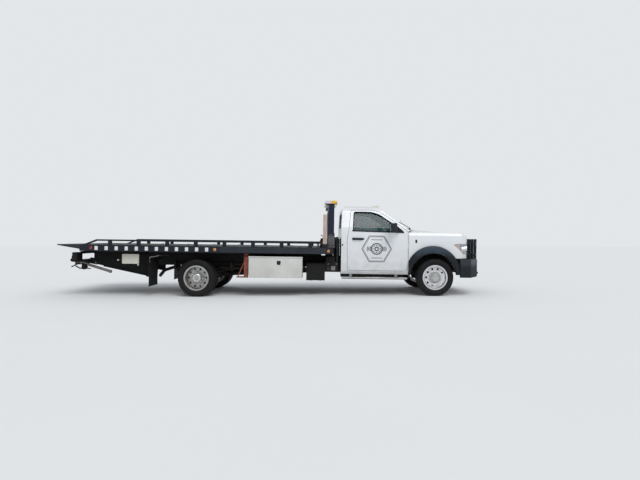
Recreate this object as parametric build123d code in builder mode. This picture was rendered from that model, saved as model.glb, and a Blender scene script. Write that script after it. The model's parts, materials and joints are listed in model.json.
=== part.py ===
from build123d import *
from math import cos, radians, sin
import os

# A car-carrier tow truck: a regular-cab pickup chassis on dual rear wheels, with a tilting and sliding
# flat bed and a wheel lift stowed under its tail. Millimetres, +X to the front, +Z up.
# The pieces are drawn on a level frame, x from the rear axle and z from the ground under it.
# At the end each is turned nose down by the truck's rake, about that point, and stands on its wheels.

os.makedirs("parts", exist_ok=True)

SIDES = (("right", -1), ("left", 1))

# Lengthwise layout: the cab and all before it go with the front axle
RAKE = 0.8
WHEELBASE = 5194
CAB_BACK = WHEELBASE - 2062
CAB_LENGTH = 1480
CAB_FRONT = CAB_BACK + CAB_LENGTH
COWL_LENGTH = 1628
COWL_FRONT = CAB_BACK + COWL_LENGTH
NOSE = WHEELBASE + 911
BUMPER_FACE = WHEELBASE + 1056
FRONT_REACH = BUMPER_FACE + 60
DECK_FRONT = CAB_BACK - 172
TAIL_REACH = 2990

# Gaps: seated pieces, running clearance, and blocks that reach past the truck's ends or sides
FIT = 0.3
RUN = 6.0
FAR = 8000
OUTSIDE = 1500

# Wheels
TYRE_RADIUS = 405
TYRE_WIDTH = 228
RIM_SEAT = 251
RIM_LIP = 272
FRONT_WHEEL_Y = 948
DUAL_Y = 951
DUAL_SPACING = 266
HAND_HOLES = 10
HAND_HOLE_RADIUS = 24
HAND_HOLE_CIRCLE = 192
KINGPIN_Y = 850
REAR_Z = TYRE_RADIUS / cos(radians(RAKE))
FRONT_Z = (TYRE_RADIUS + WHEELBASE * sin(radians(RAKE))) / cos(radians(RAKE))

# Chassis
RAIL_Y = 432
RAIL_FLANGE = 72
RAIL_WALL = 8
RAIL_TOP = 880
RAIL_BOTTOM = 640
PIVOT_X = -1100
PIVOT_Z = 820
PIN_RADIUS = 25
TUBE_RADIUS = 45
RAIL_TAIL = PIVOT_X + TUBE_RADIUS + FIT
RAIL_FRONT = WHEELBASE + 566

# Bed and subframe
DECK_TOP = 1100
DECK_PLATE = 30
DECK_SHOULDER = -2510
DECK_HALF = 1219
SILL_Y = 402
SILL_WIDTH = 80
CROSS_HALF = DECK_HALF - 69
SILL_BOTTOM = 962
CHANNEL_HEIGHT = 140
POST_FIRST = -1859
POST_COUNT = 8
POST_PITCH = (DECK_FRONT - 507 - POST_FIRST) / (POST_COUNT - 1)
POST_LENGTH = 82
BAR_TOP = 1216
BAR_HEIGHT = 35
SUBFRAME_TOP = 955
SUBFRAME_BOTTOM = 886
SUBFRAME_TAIL = -2560
SUBFRAME_FRONT = DECK_FRONT - 260
RACK_X = DECK_FRONT - 55
RACK_DEPTH = 127
RACK_TOP = 1990

# Cab
CAB_HALF = 1003
CAB_WALL = 66
CAB_GLASS_IN = 30
GLASS = 6
FLOOR_TOP = 930
FLOOR_BOTTOM = 886
ROCKER_BOTTOM = 530
ROCKER_IN = CAB_HALF - 108
COWL_SEAM = 1486
SCREEN_SLOPE = 34.1
SCREEN_BOW = 1200
SCREEN_DROP = 140
DOOR_GAP = 7

# Front clip
CLIP_BACK = CAB_FRONT + 6
HOOD_HALF = CAB_HALF - 268
HOOD_SEAM = 5
SKIN = 30
ARCH_X = WHEELBASE - 44
ARCH_Z = 505
ARCH_RADIUS = 505
FLARE_RADIUS = 585
FLARE_X = WHEELBASE - 46
FLARE_Z = 585
FLARE_HALF = CAB_HALF + 77

# Wheel lift
LIFT_X = -1350
LIFT_Z = 400
LIFT_SLOPE = 11.5
LIFT_BOOM = 1150
LIFT_SIZE = 140
LIFT_WALL = 12

STANCE = Location(((TAIL_REACH - FRONT_REACH) / 2, 0, 0), (0, RAKE, 0))


def save(piece, label):
    """Stand a finished piece on the wheels, name it and write it."""
    placed = STANCE * piece.part
    placed.label = label
    piece.part.label = label
    export_step(placed, f"parts/{label}.step")


def box(x, y, z, mode=Mode.ADD):
    """A block between two x, two y and two z values, in the block being built."""
    size = (x[1] - x[0], y[1] - y[0], z[1] - z[0])
    with Locations(((x[0] + x[1]) / 2, (y[0] + y[1]) / 2, (z[0] + z[1]) / 2)):
        Box(*size, mode=mode)


def both(x, y, z, mode=Mode.ADD):
    """The same block on the right and on the left; y counts outwards from the middle."""
    box(x, (-y[1], -y[0]), z, mode)
    box(x, (y[0], y[1]), z, mode)


def from_cab(*points):
    """Rows of the side view with x measured from the cab's back."""
    return [(CAB_BACK + x, *rest) for x, *rest in points]


def from_axle(*points):
    """Rows of the side view with x measured from the front axle."""
    return [(WHEELBASE + x, *rest) for x, *rest in points]


def closed_line(rows, inset=0):
    """A closed line through rows of two coordinates and, at a rounded corner, its radius."""
    points = [Vector(row[0], row[1]) for row in rows]
    turn = sum(point.cross(points[index - 1]).Z for index, point in enumerate(points))
    inward = inset if turn < 0 else -inset
    corners = []
    radii = []
    for index, point in enumerate(points):
        before = (point - points[index - 1]).normalized()
        after = (points[(index + 1) % len(points)] - point).normalized()
        normals = Vector(-before.Y - after.Y, before.X + after.X)
        corners.append(point + normals * (inward / (1 + before.dot(after))))
        bulge = inset if before.cross(after).Z * turn < 0 else -inset
        radii.append(max(rows[index][2] - bulge, 0) if len(rows[index]) > 2 else 0)
    if any(radii):
        FilletPolyline(*corners, radius=radii, close=True)
    else:
        Polyline(*corners, close=True)


def mirrored(rows):
    """Rows of one half from the bottom to the middle line, with the other half after them."""
    return [*rows, *[(-y, *rest) for y, *rest in reversed(rows) if y]]


def prism(points, y_in, y_out, gap=0):
    """A side outline carried across the truck between two distances from the middle, on one side."""
    with BuildPart() as form:
        with BuildSketch(Plane.XZ.offset(-y_in)):
            with BuildLine():
                closed_line(points, -gap)
            make_face()
        extrude(amount=-(y_out - y_in))
    return form.part


# Frame

with BuildPart() as frame_rails:
    for side in (-1, 1):
        web = side * RAIL_Y
        inner = side * (RAIL_Y - RAIL_FLANGE)
        with BuildSketch(Plane.YZ.offset(RAIL_TAIL)):
            with BuildLine():
                Polyline(
                    (web, RAIL_BOTTOM),
                    (web, RAIL_TOP),
                    (inner, RAIL_TOP),
                    (inner, RAIL_TOP - RAIL_WALL),
                    (web - side * RAIL_WALL, RAIL_TOP - RAIL_WALL),
                    (web - side * RAIL_WALL, RAIL_BOTTOM + RAIL_WALL),
                    (inner, RAIL_BOTTOM + RAIL_WALL),
                    (inner, RAIL_BOTTOM),
                    close=True,
                )
            make_face()
        extrude(amount=RAIL_FRONT - RAIL_TAIL)
save(frame_rails, "frame_rails")

CROSSMEMBERS = (-700, 700, 1900, CAB_BACK - 32, CAB_BACK + 768)

with BuildPart() as frame_crossmembers:
    reach = RAIL_Y - RAIL_WALL - FIT
    for x in CROSSMEMBERS:
        box((x - 40, x + 40), (-reach, reach), (RAIL_BOTTOM + 30, RAIL_BOTTOM + 110))
        box((x - 30, x + 30), (-reach - 1, reach + 1), (RAIL_BOTTOM + 40, RAIL_BOTTOM + 100), Mode.SUBTRACT)
    # Tail tube that the subframe's pin turns in, with plates to the rails' ends
    with BuildSketch(Plane.XZ.offset(-RAIL_Y)):
        with Locations((PIVOT_X, PIVOT_Z)):
            Circle(TUBE_RADIUS)
    extrude(amount=2 * RAIL_Y)
    for side in (-1, 1):
        box(
            (PIVOT_X, RAIL_TAIL - FIT),
            sorted((side * (RAIL_Y - 60), side * RAIL_Y)),
            (RAIL_BOTTOM + 100, PIVOT_Z + 30),
        )
    with BuildSketch(Plane.XZ.offset(-RAIL_Y - 1)):
        with Locations((PIVOT_X, PIVOT_Z)):
            Circle(PIN_RADIUS + 0.4)
    extrude(amount=2 * RAIL_Y + 2, mode=Mode.SUBTRACT)
save(frame_crossmembers, "frame_crossmembers")


# Engine block with its gearbox, shaft and axle housings

SHAFT_START = (WHEELBASE - 1144, 0, 610)
SHAFT_END = (350, 0, REAR_Z + 20)

with BuildPart() as driveline:
    box((WHEELBASE - 414, WHEELBASE + 366), (-290, 290), (660, 1190))
    box((SHAFT_START[0], WHEELBASE - 404), (-170, 170), (560, 850))
    with BuildLine() as shaft_line:
        Line(SHAFT_START, SHAFT_END)
    with BuildSketch(Plane(origin=SHAFT_START, z_dir=shaft_line.line % 0)):
        Circle(50)
    sweep(path=shaft_line.line)
    # Flange on the axle's pinion, and the engine's mounts on the rails
    with BuildSketch(Plane.YZ.offset(SHAFT_END[0] - 12 + FIT)):
        with Locations((0, SHAFT_END[2])):
            Circle(62)
    extrude(amount=24)
    both((WHEELBASE - 114, WHEELBASE - 14), (289, RAIL_Y - RAIL_WALL - FIT), (700, 760))
save(driveline, "driveline")

LEAF_WIDTH = 80
LEAF_Y = 520
LEAF_TIP = 16
LEAF_PACK = 52


def leaf_spring(x_axle, z_seat, half_length, rise):
    """One leaf pack each side with its hangers and axle clamp."""
    for y in (-LEAF_Y, LEAF_Y):
        with BuildSketch(Plane.XZ.offset(-y - LEAF_WIDTH / 2)) as profile:
            with BuildLine():
                tail, front = x_axle - half_length, x_axle + half_length
                low, high = z_seat + rise, z_seat + rise + LEAF_TIP
                ThreePointArc((tail, low), (x_axle, z_seat), (front, low))
                Polyline(
                    (front, low),
                    (front, high),
                    (x_axle + half_length / 3, z_seat + LEAF_PACK),
                    (x_axle - half_length / 3, z_seat + LEAF_PACK),
                    (tail, high),
                    (tail, low),
                )
            make_face()
        extrude(profile.sketch, amount=LEAF_WIDTH)
        for end in (-1, 1):
            hanger = x_axle + end * (half_length - 20)
            low, high = sorted((y - LEAF_WIDTH / 2, y + LEAF_WIDTH / 2))
            box((hanger - 25, hanger + 25), (low, high), (z_seat + rise, RAIL_BOTTOM + 90))
            inner, outer = (RAIL_Y + FIT, LEAF_Y) if y > 0 else (-LEAF_Y, -RAIL_Y - FIT)
            box((hanger - 25, hanger + 25), (inner, outer), (RAIL_BOTTOM + 20, RAIL_BOTTOM + 90))


AXLE_TUBE = 58
BOWL_RADIUS = 165
REAR_SPINDLE = 45
REAR_SPINDLE_END = 1000
REAR_SEAT_Z = REAR_Z + AXLE_TUBE - 8

with BuildPart() as rear_axle:
    with BuildSketch(Plane.XZ.offset(-720)):
        with Locations((0, REAR_Z)):
            Circle(AXLE_TUBE)
    extrude(amount=1440)
    with BuildSketch(Plane.XZ.offset(-REAR_SPINDLE_END)):
        with Locations((0, REAR_Z)):
            Circle(REAR_SPINDLE)
    extrude(amount=2 * REAR_SPINDLE_END)
    with Locations((0, 0, REAR_Z)):
        Sphere(BOWL_RADIUS)
    with BuildSketch(Plane.YZ):
        with Locations((0, REAR_Z + 20)):
            Circle(80)
    extrude(amount=SHAFT_END[0] - 12)
    for y in (-LEAF_Y, LEAF_Y):
        box((-90, 90), (y - 45, y + 45), (REAR_Z, REAR_SEAT_Z + 2))
    leaf_spring(0, REAR_SEAT_Z, 660, 110)
save(rear_axle, "rear_axle")

BOSS_RADIUS = 38
BOSS_HALF = 60
KINGPIN_RADIUS = 20
FRONT_SEAT_Z = FRONT_Z + 28

with BuildPart() as front_axle:
    box((WHEELBASE - 40, WHEELBASE + 40), (-KINGPIN_Y + 30, KINGPIN_Y - 30), (FRONT_Z - 45, FRONT_Z + 30))
    box(
        (WHEELBASE - 41, WHEELBASE - 15),
        (-LEAF_Y + 60, LEAF_Y - 60),
        (FRONT_Z - 28, FRONT_Z + 13),
        Mode.SUBTRACT,
    )
    box(
        (WHEELBASE + 15, WHEELBASE + 41),
        (-LEAF_Y + 60, LEAF_Y - 60),
        (FRONT_Z - 28, FRONT_Z + 13),
        Mode.SUBTRACT,
    )
    with BuildSketch(Plane.XY.offset(FRONT_Z - BOSS_HALF)):
        with Locations((WHEELBASE, -KINGPIN_Y), (WHEELBASE, KINGPIN_Y)):
            Circle(BOSS_RADIUS)
    extrude(amount=2 * BOSS_HALF)
    leaf_spring(WHEELBASE, FRONT_SEAT_Z, 600, 90)
    with BuildSketch(Plane.XY.offset(FRONT_Z - BOSS_HALF - 1)):
        with Locations((WHEELBASE, -KINGPIN_Y), (WHEELBASE, KINGPIN_Y)):
            Circle(KINGPIN_RADIUS + 0.4)
    extrude(amount=2 * BOSS_HALF + 2, mode=Mode.SUBTRACT)
save(front_axle, "front_axle")

SPINDLE_RADIUS = 30
SPINDLE_END = 962
BRAKE_RADIUS = 190

for name, side in SIDES:
    with BuildPart() as knuckle:
        pin = side * KINGPIN_Y
        for low, high in ((-BOSS_HALF - 30, -BOSS_HALF - 0.5), (BOSS_HALF + 0.5, BOSS_HALF + 30)):
            with BuildSketch(Plane.XY.offset(FRONT_Z + low)):
                with Locations((WHEELBASE, pin)):
                    Circle(BOSS_RADIUS + 4)
                with Locations((WHEELBASE, pin + side * 30)):
                    Rectangle(80, 60)
            extrude(amount=high - low)
        with BuildSketch(Plane.XY.offset(FRONT_Z - BOSS_HALF - 30)):
            with Locations((WHEELBASE, pin)):
                Circle(KINGPIN_RADIUS)
        extrude(amount=2 * BOSS_HALF + 60)
        box(
            (WHEELBASE - 50, WHEELBASE + 50),
            sorted((side * (KINGPIN_Y + 46), side * (KINGPIN_Y + 60))),
            (FRONT_Z - 90, FRONT_Z + 90),
        )
        for radius, start, end in ((BRAKE_RADIUS, 915, 940), (SPINDLE_RADIUS, 905, SPINDLE_END)):
            with BuildSketch(Plane.XZ.offset(-side * start)):
                with Locations((WHEELBASE, FRONT_Z)):
                    Circle(radius)
            extrude(amount=-side * (end - start))
    save(knuckle, f"knuckle_{name}")


# Wheels

def tyre_ring(y, x, z):
    """A tyre: beads at the rim, bulging walls, square shoulders."""
    half = TYRE_WIDTH / 2
    with BuildSketch(Plane.YZ.offset(x)) as profile:
        with BuildLine():
            Polyline(
                (y - half + 30 + FIT, z + RIM_SEAT),
                (y - half + 30 + FIT, z + RIM_LIP + 1),
                (y - half + 16, z + RIM_LIP + 8),
                (y - half, z + 320),
                (y - half + 4, z + 366),
                (y - half + 24, z + TYRE_RADIUS - 6),
                (y - half + 44, z + TYRE_RADIUS),
                (y + half - 44, z + TYRE_RADIUS),
                (y + half - 24, z + TYRE_RADIUS - 6),
                (y + half - 4, z + 366),
                (y + half, z + 320),
                (y + half - 16, z + RIM_LIP + 8),
                (y + half - 30 - FIT, z + RIM_LIP + 1),
                (y + half - 30 - FIT, z + RIM_SEAT),
                close=True,
            )
        make_face()
    revolve(profile.sketch, axis=Axis((x, 0, z), (0, 1, 0)))


def rim_ring(y, x, z, out, disc):
    """A wheel: barrel with rolled lips and a dished disc; disc counts outwards from the tyre's middle."""
    seat = RIM_SEAT - FIT
    bead = TYRE_WIDTH / 2 - 30
    plate = y + out * disc
    with BuildSketch(Plane.YZ.offset(x)) as profile:
        with BuildLine():
            Polyline(
                (y - bead - 6, z + seat - 10),
                (y - bead - 6, z + seat),
                (y + bead, z + seat),
                (y + bead, z + RIM_LIP - 4),
                (y + bead + 10, z + RIM_LIP),
                (y + bead + 10, z + seat - 10),
                close=True,
            )
        make_face()
        with BuildLine():
            Polyline(
                (y - bead, z + seat),
                (y - bead, z + RIM_LIP - 4),
                (y - bead - 10, z + RIM_LIP),
                (y - bead - 10, z + seat - 10),
                (y - bead, z + seat - 10),
                close=True,
            )
        make_face()
        with BuildLine():
            Polyline(
                (plate - out * 30, z + seat - 5),
                (plate - out * 22, z + seat - 5),
                (plate + out * 4, z + HAND_HOLE_CIRCLE + 34),
                (plate + out * 10, z + HAND_HOLE_CIRCLE - 36),
                (plate, z + 120),
                (plate, z + 60),
                (plate - out * 12, z + 60),
                (plate - out * 12, z + 120),
                (plate - out * 2, z + HAND_HOLE_CIRCLE - 36),
                (plate - out * 8, z + HAND_HOLE_CIRCLE + 34),
                close=True,
            )
        make_face()
    revolve(profile.sketch, axis=Axis((x, 0, z), (0, 1, 0)))
    with BuildSketch(Plane((x, plate - out * 40, z), x_dir=(1, 0, 0), z_dir=(0, out, 0))) as profile:
        with PolarLocations(HAND_HOLE_CIRCLE, HAND_HOLES):
            Circle(HAND_HOLE_RADIUS)
    extrude(profile.sketch, amount=80, mode=Mode.SUBTRACT)


def disc_plug(x, z, y, out, steps):
    """Round hub steps from y outwards; each step is a radius, a start and an end."""
    for radius, start, end in steps:
        with BuildSketch(Plane((x, y + out * start, z), x_dir=(1, 0, 0), z_dir=(0, out, 0))) as profile:
            Circle(radius)
        extrude(profile.sketch, amount=end - start)


for name, side in SIDES:
    y = side * FRONT_WHEEL_Y
    with BuildPart() as tyre_front:
        tyre_ring(y, WHEELBASE, FRONT_Z)
    save(tyre_front, f"tyre_front_{name}")

    with BuildPart() as rim_front:
        rim_ring(y, WHEELBASE, FRONT_Z, side, 58)
        disc_plug(WHEELBASE, FRONT_Z, y, side, ((100, 2, 60), (84, 58, 86), (52, 80, 98)))
        with BuildSketch(Plane((WHEELBASE, side * 945, FRONT_Z), x_dir=(1, 0, 0), z_dir=(0, side, 0))):
            Circle(SPINDLE_RADIUS + 0.4)
        extrude(amount=SPINDLE_END - 945 + 2, mode=Mode.SUBTRACT)
    save(rim_front, f"rim_front_{name}")

    inner = side * (DUAL_Y - DUAL_SPACING / 2)
    outer = side * (DUAL_Y + DUAL_SPACING / 2)
    with BuildPart() as tyre_rear:
        tyre_ring(inner, 0, REAR_Z)
        tyre_ring(outer, 0, REAR_Z)
    save(tyre_rear, f"tyre_rear_{name}")

    with BuildPart() as rim_rear:
        rim_ring(outer, 0, REAR_Z, side, -55)
        rim_ring(inner, 0, REAR_Z, -side, -55)
        hub_steps = ((118, -80, 66), (96, 66, 150), (78, 150, 196), (56, 196, 212))
        disc_plug(0, REAR_Z, side * DUAL_Y, side, hub_steps)
        with BuildSketch(Plane((0, side * (DUAL_Y - 90), REAR_Z), x_dir=(1, 0, 0), z_dir=(0, side, 0))):
            Circle(REAR_SPINDLE + 0.4)
        extrude(amount=REAR_SPINDLE_END - DUAL_Y + 90 + 2, mode=Mode.SUBTRACT)
    save(rim_rear, f"rim_rear_{name}")


# Tanks, boxes and brackets hung from the frame

TANK_X = (CAB_BACK - 760, CAB_BACK - 352)
TANK_Z = (372, 772)
OIL_TANK_X = (480, 960)

with BuildPart() as fuel_tank:
    for side in (-1, 1):
        with BuildSketch(Plane.YZ.offset(TANK_X[0])):
            with Locations((side * 780, (TANK_Z[0] + TANK_Z[1]) / 2)):
                RectangleRounded(460, TANK_Z[1] - TANK_Z[0], 70)
        extrude(amount=TANK_X[1] - TANK_X[0])
        box(
            (TANK_X[0] + 108, TANK_X[0] + 188),
            sorted((side * (RAIL_Y + FIT), side * 600)),
            (RAIL_BOTTOM + 20, TANK_Z[1] - 20),
        )
        box((TANK_X[1] + 10, CAB_BACK - 62), sorted((side * (RAIL_Y + FIT), side * 990)), (566, 800))
    # Hydraulic tank before the left rear wheels
    with BuildSketch(Plane.YZ.offset(OIL_TANK_X[0])):
        with Locations((800, 615)):
            RectangleRounded(400, 370, 30)
    extrude(amount=OIL_TANK_X[1] - OIL_TANK_X[0])
    bracket_x = (OIL_TANK_X[0] + 280, OIL_TANK_X[0] + 360)
    box(bracket_x, (RAIL_Y + FIT, 601), (RAIL_BOTTOM + 20, RAIL_BOTTOM + 100))
save(fuel_tank, "fuel_tank")

TOOLBOX_X = (1130, CAB_BACK - 842)
TOOLBOX_Z = (434, 893)
TOOLBOX_Y = (750, 1186)
TOOLBOX_WALL = 12
LID = 26
LID_X = (TOOLBOX_X[0] + 6, TOOLBOX_X[1] - 6)
LID_Z = (TOOLBOX_Z[0] + 6, TOOLBOX_Z[1] - 30)
LID_PIN_RADIUS = 5
LID_PIN = (TOOLBOX_Y[1] + RUN + LID - LID_PIN_RADIUS, LID_Z[0] - 3)

with BuildPart() as toolboxes:
    both(TOOLBOX_X, TOOLBOX_Y, TOOLBOX_Z)
    both(
        (TOOLBOX_X[0] + TOOLBOX_WALL, TOOLBOX_X[1] - TOOLBOX_WALL),
        (TOOLBOX_Y[0] + TOOLBOX_WALL, TOOLBOX_Y[1] + 1),
        (TOOLBOX_Z[0] + TOOLBOX_WALL, TOOLBOX_Z[1] - TOOLBOX_WALL),
        Mode.SUBTRACT,
    )
    both(TOOLBOX_X, (TOOLBOX_Y[1] - 1, TOOLBOX_Y[1] + RUN + LID), (TOOLBOX_Z[1] - 24, TOOLBOX_Z[1]))
    for x in (TOOLBOX_X[0] + 160, TOOLBOX_X[1] - 160):
        both((x - 30, x + 30), (RAIL_Y + FIT, TOOLBOX_Y[0] + 1), (TOOLBOX_Z[1] - 90, TOOLBOX_Z[1] - 30))
save(toolboxes, "toolboxes")

for name, side in SIDES:
    with BuildPart() as toolbox_door:
        box(LID_X, sorted((side * (TOOLBOX_Y[1] + RUN), side * (TOOLBOX_Y[1] + RUN + LID))), LID_Z)
        # Hinge knuckles that meet the box's lip, each with its barrel under the edge
        for x in (LID_X[0] + 150, (LID_X[0] + LID_X[1]) / 2, LID_X[1] - 150):
            box(
                (x - 40, x + 40),
                sorted((side * (TOOLBOX_Y[1] + FIT), side * (TOOLBOX_Y[1] + RUN + 2))),
                (LID_Z[0], LID_Z[0] + 5),
            )
            with BuildSketch(Plane.YZ.offset(x - 40)):
                with Locations((side * LID_PIN[0], LID_PIN[1])):
                    Circle(LID_PIN_RADIUS)
            extrude(amount=80)
    save(toolbox_door, f"toolbox_door_{name}")

HANGER_X = (1020, 1110)
HANGER_Y = (DECK_HALF - 139, DECK_HALF - 99)

with BuildPart() as box_hangers:
    both(HANGER_X, (RAIL_Y + FIT, HANGER_Y[1]), (800, 868))
    both(HANGER_X, HANGER_Y, (424, 946))
    both((861, HANGER_X[1]), HANGER_Y, (424, 452))
    brace = ((880, 451), (902, 451), (HANGER_X[0] + 1, 740), (HANGER_X[0] + 1, 780))
    for side in (-1, 1):
        add(prism(brace, *sorted((side * (HANGER_Y[0] + 10), side * (HANGER_Y[1] - 8)))))
save(box_hangers, "box_hangers")

FLAP_X = -1012

with BuildPart() as mud_flaps:
    both((FLAP_X - 6, FLAP_X + 6), (650, 1200), (210, 776))
    both((FLAP_X - 20, FLAP_X + 20), (RAIL_Y + FIT, 1206), (770, 800))
save(mud_flaps, "mud_flaps")

EXHAUST_Y = -392
EXHAUST_Z = 590

with BuildPart() as exhaust:
    with BuildLine() as pipe:
        FilletPolyline(
            (CAB_BACK + 1168, EXHAUST_Y, EXHAUST_Z),
            (-700, EXHAUST_Y, EXHAUST_Z),
            (-860, EXHAUST_Y - 220, EXHAUST_Z - 60),
            (-900, EXHAUST_Y - 400, EXHAUST_Z - 170),
            radius=70,
        )
    with BuildSketch(Plane(origin=pipe.line @ 0, z_dir=pipe.line % 0)):
        Circle(36)
    sweep(path=pipe.line)
    with BuildSketch(Plane.YZ.offset(CAB_BACK + 18)):
        with Locations((EXHAUST_Y + 10, EXHAUST_Z - 70)):
            Ellipse(150, 100)
    extrude(amount=800)
    for x in (1500, CAB_BACK + 368):
        box((x - 20, x + 20), (EXHAUST_Y - 5, EXHAUST_Y + 5), (EXHAUST_Z, RAIL_BOTTOM - FIT))
save(exhaust, "exhaust")


# Cab

# Outline rows are a distance, a height and a corner radius
ROOF_PROFILE = from_cab(
    (0, ROCKER_BOTTOM),
    (0, 1490, 2000),
    (24, 1960, 80),
    (84, 2035, 80),
    (180, 2058, 300),
    (479, 2065, 3000),
    (825, 2062, 400),
    (1028, 2020, 250),
    (COWL_LENGTH, 1575),
    (COWL_LENGTH, 1440),
    (CAB_LENGTH, 1440),
    (CAB_LENGTH, ROCKER_BOTTOM),
)
CAB_SECTION = (
    (CAB_HALF - 43, ROCKER_BOTTOM),
    (CAB_HALF - 13, 600, 100),
    (CAB_HALF, 780, 800),
    (CAB_HALF, 1250, 1000),
    (CAB_HALF - 18, 1480, 800),
    (CAB_HALF - 158, 1925, 150),
    (CAB_HALF - 243, 1995, 200),
    (CAB_HALF - 443, 2035, 1200),
    (0, 2072, 4000),
)
SCREEN_FOOT = (COWL_FRONT - 28, 1547)


def cabin(inset, floor):
    """The cab's closed form, drawn in by an inset: side view, cross-section and bowed windscreen."""
    with BuildPart() as form:
        with BuildSketch(Plane.XZ):
            with BuildLine():
                closed_line(ROOF_PROFILE, inset)
            make_face()
        extrude(amount=OUTSIDE, both=True)
        with BuildSketch(Plane.YZ):
            with BuildLine():
                closed_line(mirrored(CAB_SECTION), inset)
            make_face()
        extrude(amount=FAR, mode=Mode.INTERSECT)
        slope = radians(SCREEN_SLOPE)
        normal = Vector(sin(slope), 0, cos(slope))
        foot = Vector(SCREEN_FOOT[0], 0, SCREEN_FOOT[1]) - normal * inset
        down = Vector(cos(slope), 0, -sin(slope))
        with BuildSketch(Plane(origin=foot, x_dir=(0, 1, 0), z_dir=down)):
            with BuildLine():
                ThreePointArc((-SCREEN_BOW, -SCREEN_DROP), (0, 0), (SCREEN_BOW, -SCREEN_DROP))
                corners = ((SCREEN_BOW, -SCREEN_DROP), (SCREEN_BOW, -FAR / 2))
                Polyline(*corners, *[(-y, z) for y, z in reversed(corners)])
            make_face()
        extrude(amount=3000, both=True, mode=Mode.INTERSECT)
        if floor:
            box((0, FAR), (-OUTSIDE, OUTSIDE), (0, floor), Mode.SUBTRACT)
    return form.part


DOOR_END = CAB_LENGTH - 16
DOOR_FRONT = CAB_BACK + DOOR_END
DOOR_OUTLINE = from_cab(
    (143, 640, 30),
    (130, 1300, 800),
    (168, 1480, 800),
    (213, 1938, 60),
    (688, 1946, 500),
    (868, 1893, 500),
    (1083, 1742, 1500),
    (1263, 1625),
    (DOOR_END, 1470, 20),
    (DOOR_END, 700, 60),
    (DOOR_END - 36, 612, 20),
    (168, 612, 20),
)
WINDOW_OUTLINE = from_cab(
    (258, 1480, 30),
    (279, 1880, 20),
    (308, 1898, 20),
    (666, 1896, 300),
    (847, 1840, 400),
    (1051, 1700, 1500),
    (1229, 1585, 600),
    (1383, 1455, 20),
)

SAIL_BACK = CAB_BACK + 1258
SAIL_Y = (CAB_HALF - 46, CAB_HALF - 13)

CAB_OUT = cabin(0, 0)
CAB_IN = cabin(CAB_WALL, FLOOR_TOP)
PANE = cabin(CAB_GLASS_IN, 0) - cabin(CAB_GLASS_IN + GLASS, 0)

SCREEN_HALF = CAB_HALF - 243
SCREEN_LENGTH = 620
SCREEN_CENTRE = (CAB_BACK + 1278, 1770)
REAR_WINDOW_HALF = CAB_HALF - 383
REAR_WINDOW_Z = (1530, 1870)


def screen_prism(gap):
    """The windscreen's opening, a prism square to the glass."""
    slope = radians(SCREEN_SLOPE)
    with BuildPart() as form:
        middle = Plane(
            origin=(SCREEN_CENTRE[0], 0, SCREEN_CENTRE[1]),
            x_dir=(0, 1, 0),
            z_dir=(sin(slope), 0, cos(slope)),
        )
        with BuildSketch(middle):
            RectangleRounded(2 * (SCREEN_HALF - gap), SCREEN_LENGTH - 2 * gap, 50)
        extrude(amount=260, both=True)
    return form.part


def rear_prism(gap):
    """The rear window's opening."""
    with BuildPart() as form:
        with BuildSketch(Plane.YZ.offset(CAB_BACK - 50)):
            with Locations((0, sum(REAR_WINDOW_Z) / 2)):
                RectangleRounded(
                    2 * (REAR_WINDOW_HALF - gap), REAR_WINDOW_Z[1] - REAR_WINDOW_Z[0] - 2 * gap, 40
                )
        extrude(amount=220)
    return form.part


# The doorways run deeper above the belt, and deepest behind the front wall
BELT = 1300
BELT_IN = CAB_HALF - 98
DOORWAYS = []
for side in (-1, 1):
    for y_in, bottom, front in (
        (CAB_HALF - CAB_WALL - DOOR_GAP, 0, FAR),
        (BELT_IN - DOOR_GAP, BELT - DOOR_GAP, FAR),
        (600, FLOOR_TOP, CAB_FRONT - CAB_WALL),
    ):
        ends = sorted((side * y_in, side * OUTSIDE))
        with BuildPart() as room:
            box((0, front), ends, (bottom, FAR))
        DOORWAYS.append(prism(DOOR_OUTLINE, *ends, gap=DOOR_GAP) & room.part)

with BuildPart() as cab_shell:
    add(CAB_OUT)
    add(CAB_IN, mode=Mode.SUBTRACT)
    # The floor pan stands over the frame, between the rockers
    box((CAB_BACK - 10, CAB_FRONT + 10), (-ROCKER_IN, ROCKER_IN), (0, FLOOR_BOTTOM), Mode.SUBTRACT)
    for doorway in DOORWAYS:
        add(doorway, mode=Mode.SUBTRACT)
    for x in (CAB_BACK + 128, CAB_BACK + 1308):
        both((x - 40, x + 40), (RAIL_Y - 60, RAIL_Y - 4), (RAIL_TOP + FIT, FLOOR_BOTTOM + 1))
    # The wings close the corners beside the cowl
    both((CAB_FRONT, FAR), (HOOD_HALF + 3, OUTSIDE), (0, COWL_SEAM + FIT), Mode.SUBTRACT)
    add(screen_prism(0), mode=Mode.SUBTRACT)
    add(rear_prism(0), mode=Mode.SUBTRACT)
save(cab_shell, "cab_shell")

with BuildPart() as cab_glass:
    add(PANE & screen_prism(FIT))
    add(PANE & rear_prism(FIT))
save(cab_glass, "cab_glass")

HINGE_LENGTH = 90
HINGE_Z = (810, 1110)
HINGE_PIN = (DOOR_FRONT + DOOR_GAP / 2, CAB_HALF)
# The mirror's arm in plan, from the cab's back and the cab's side
MIRROR_ARM = ((1283, -31), (1318, -31), (1168, 147), (1118, 147))
MIRROR_CENTRE = (CAB_BACK + 1108, CAB_HALF + 222)

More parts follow.
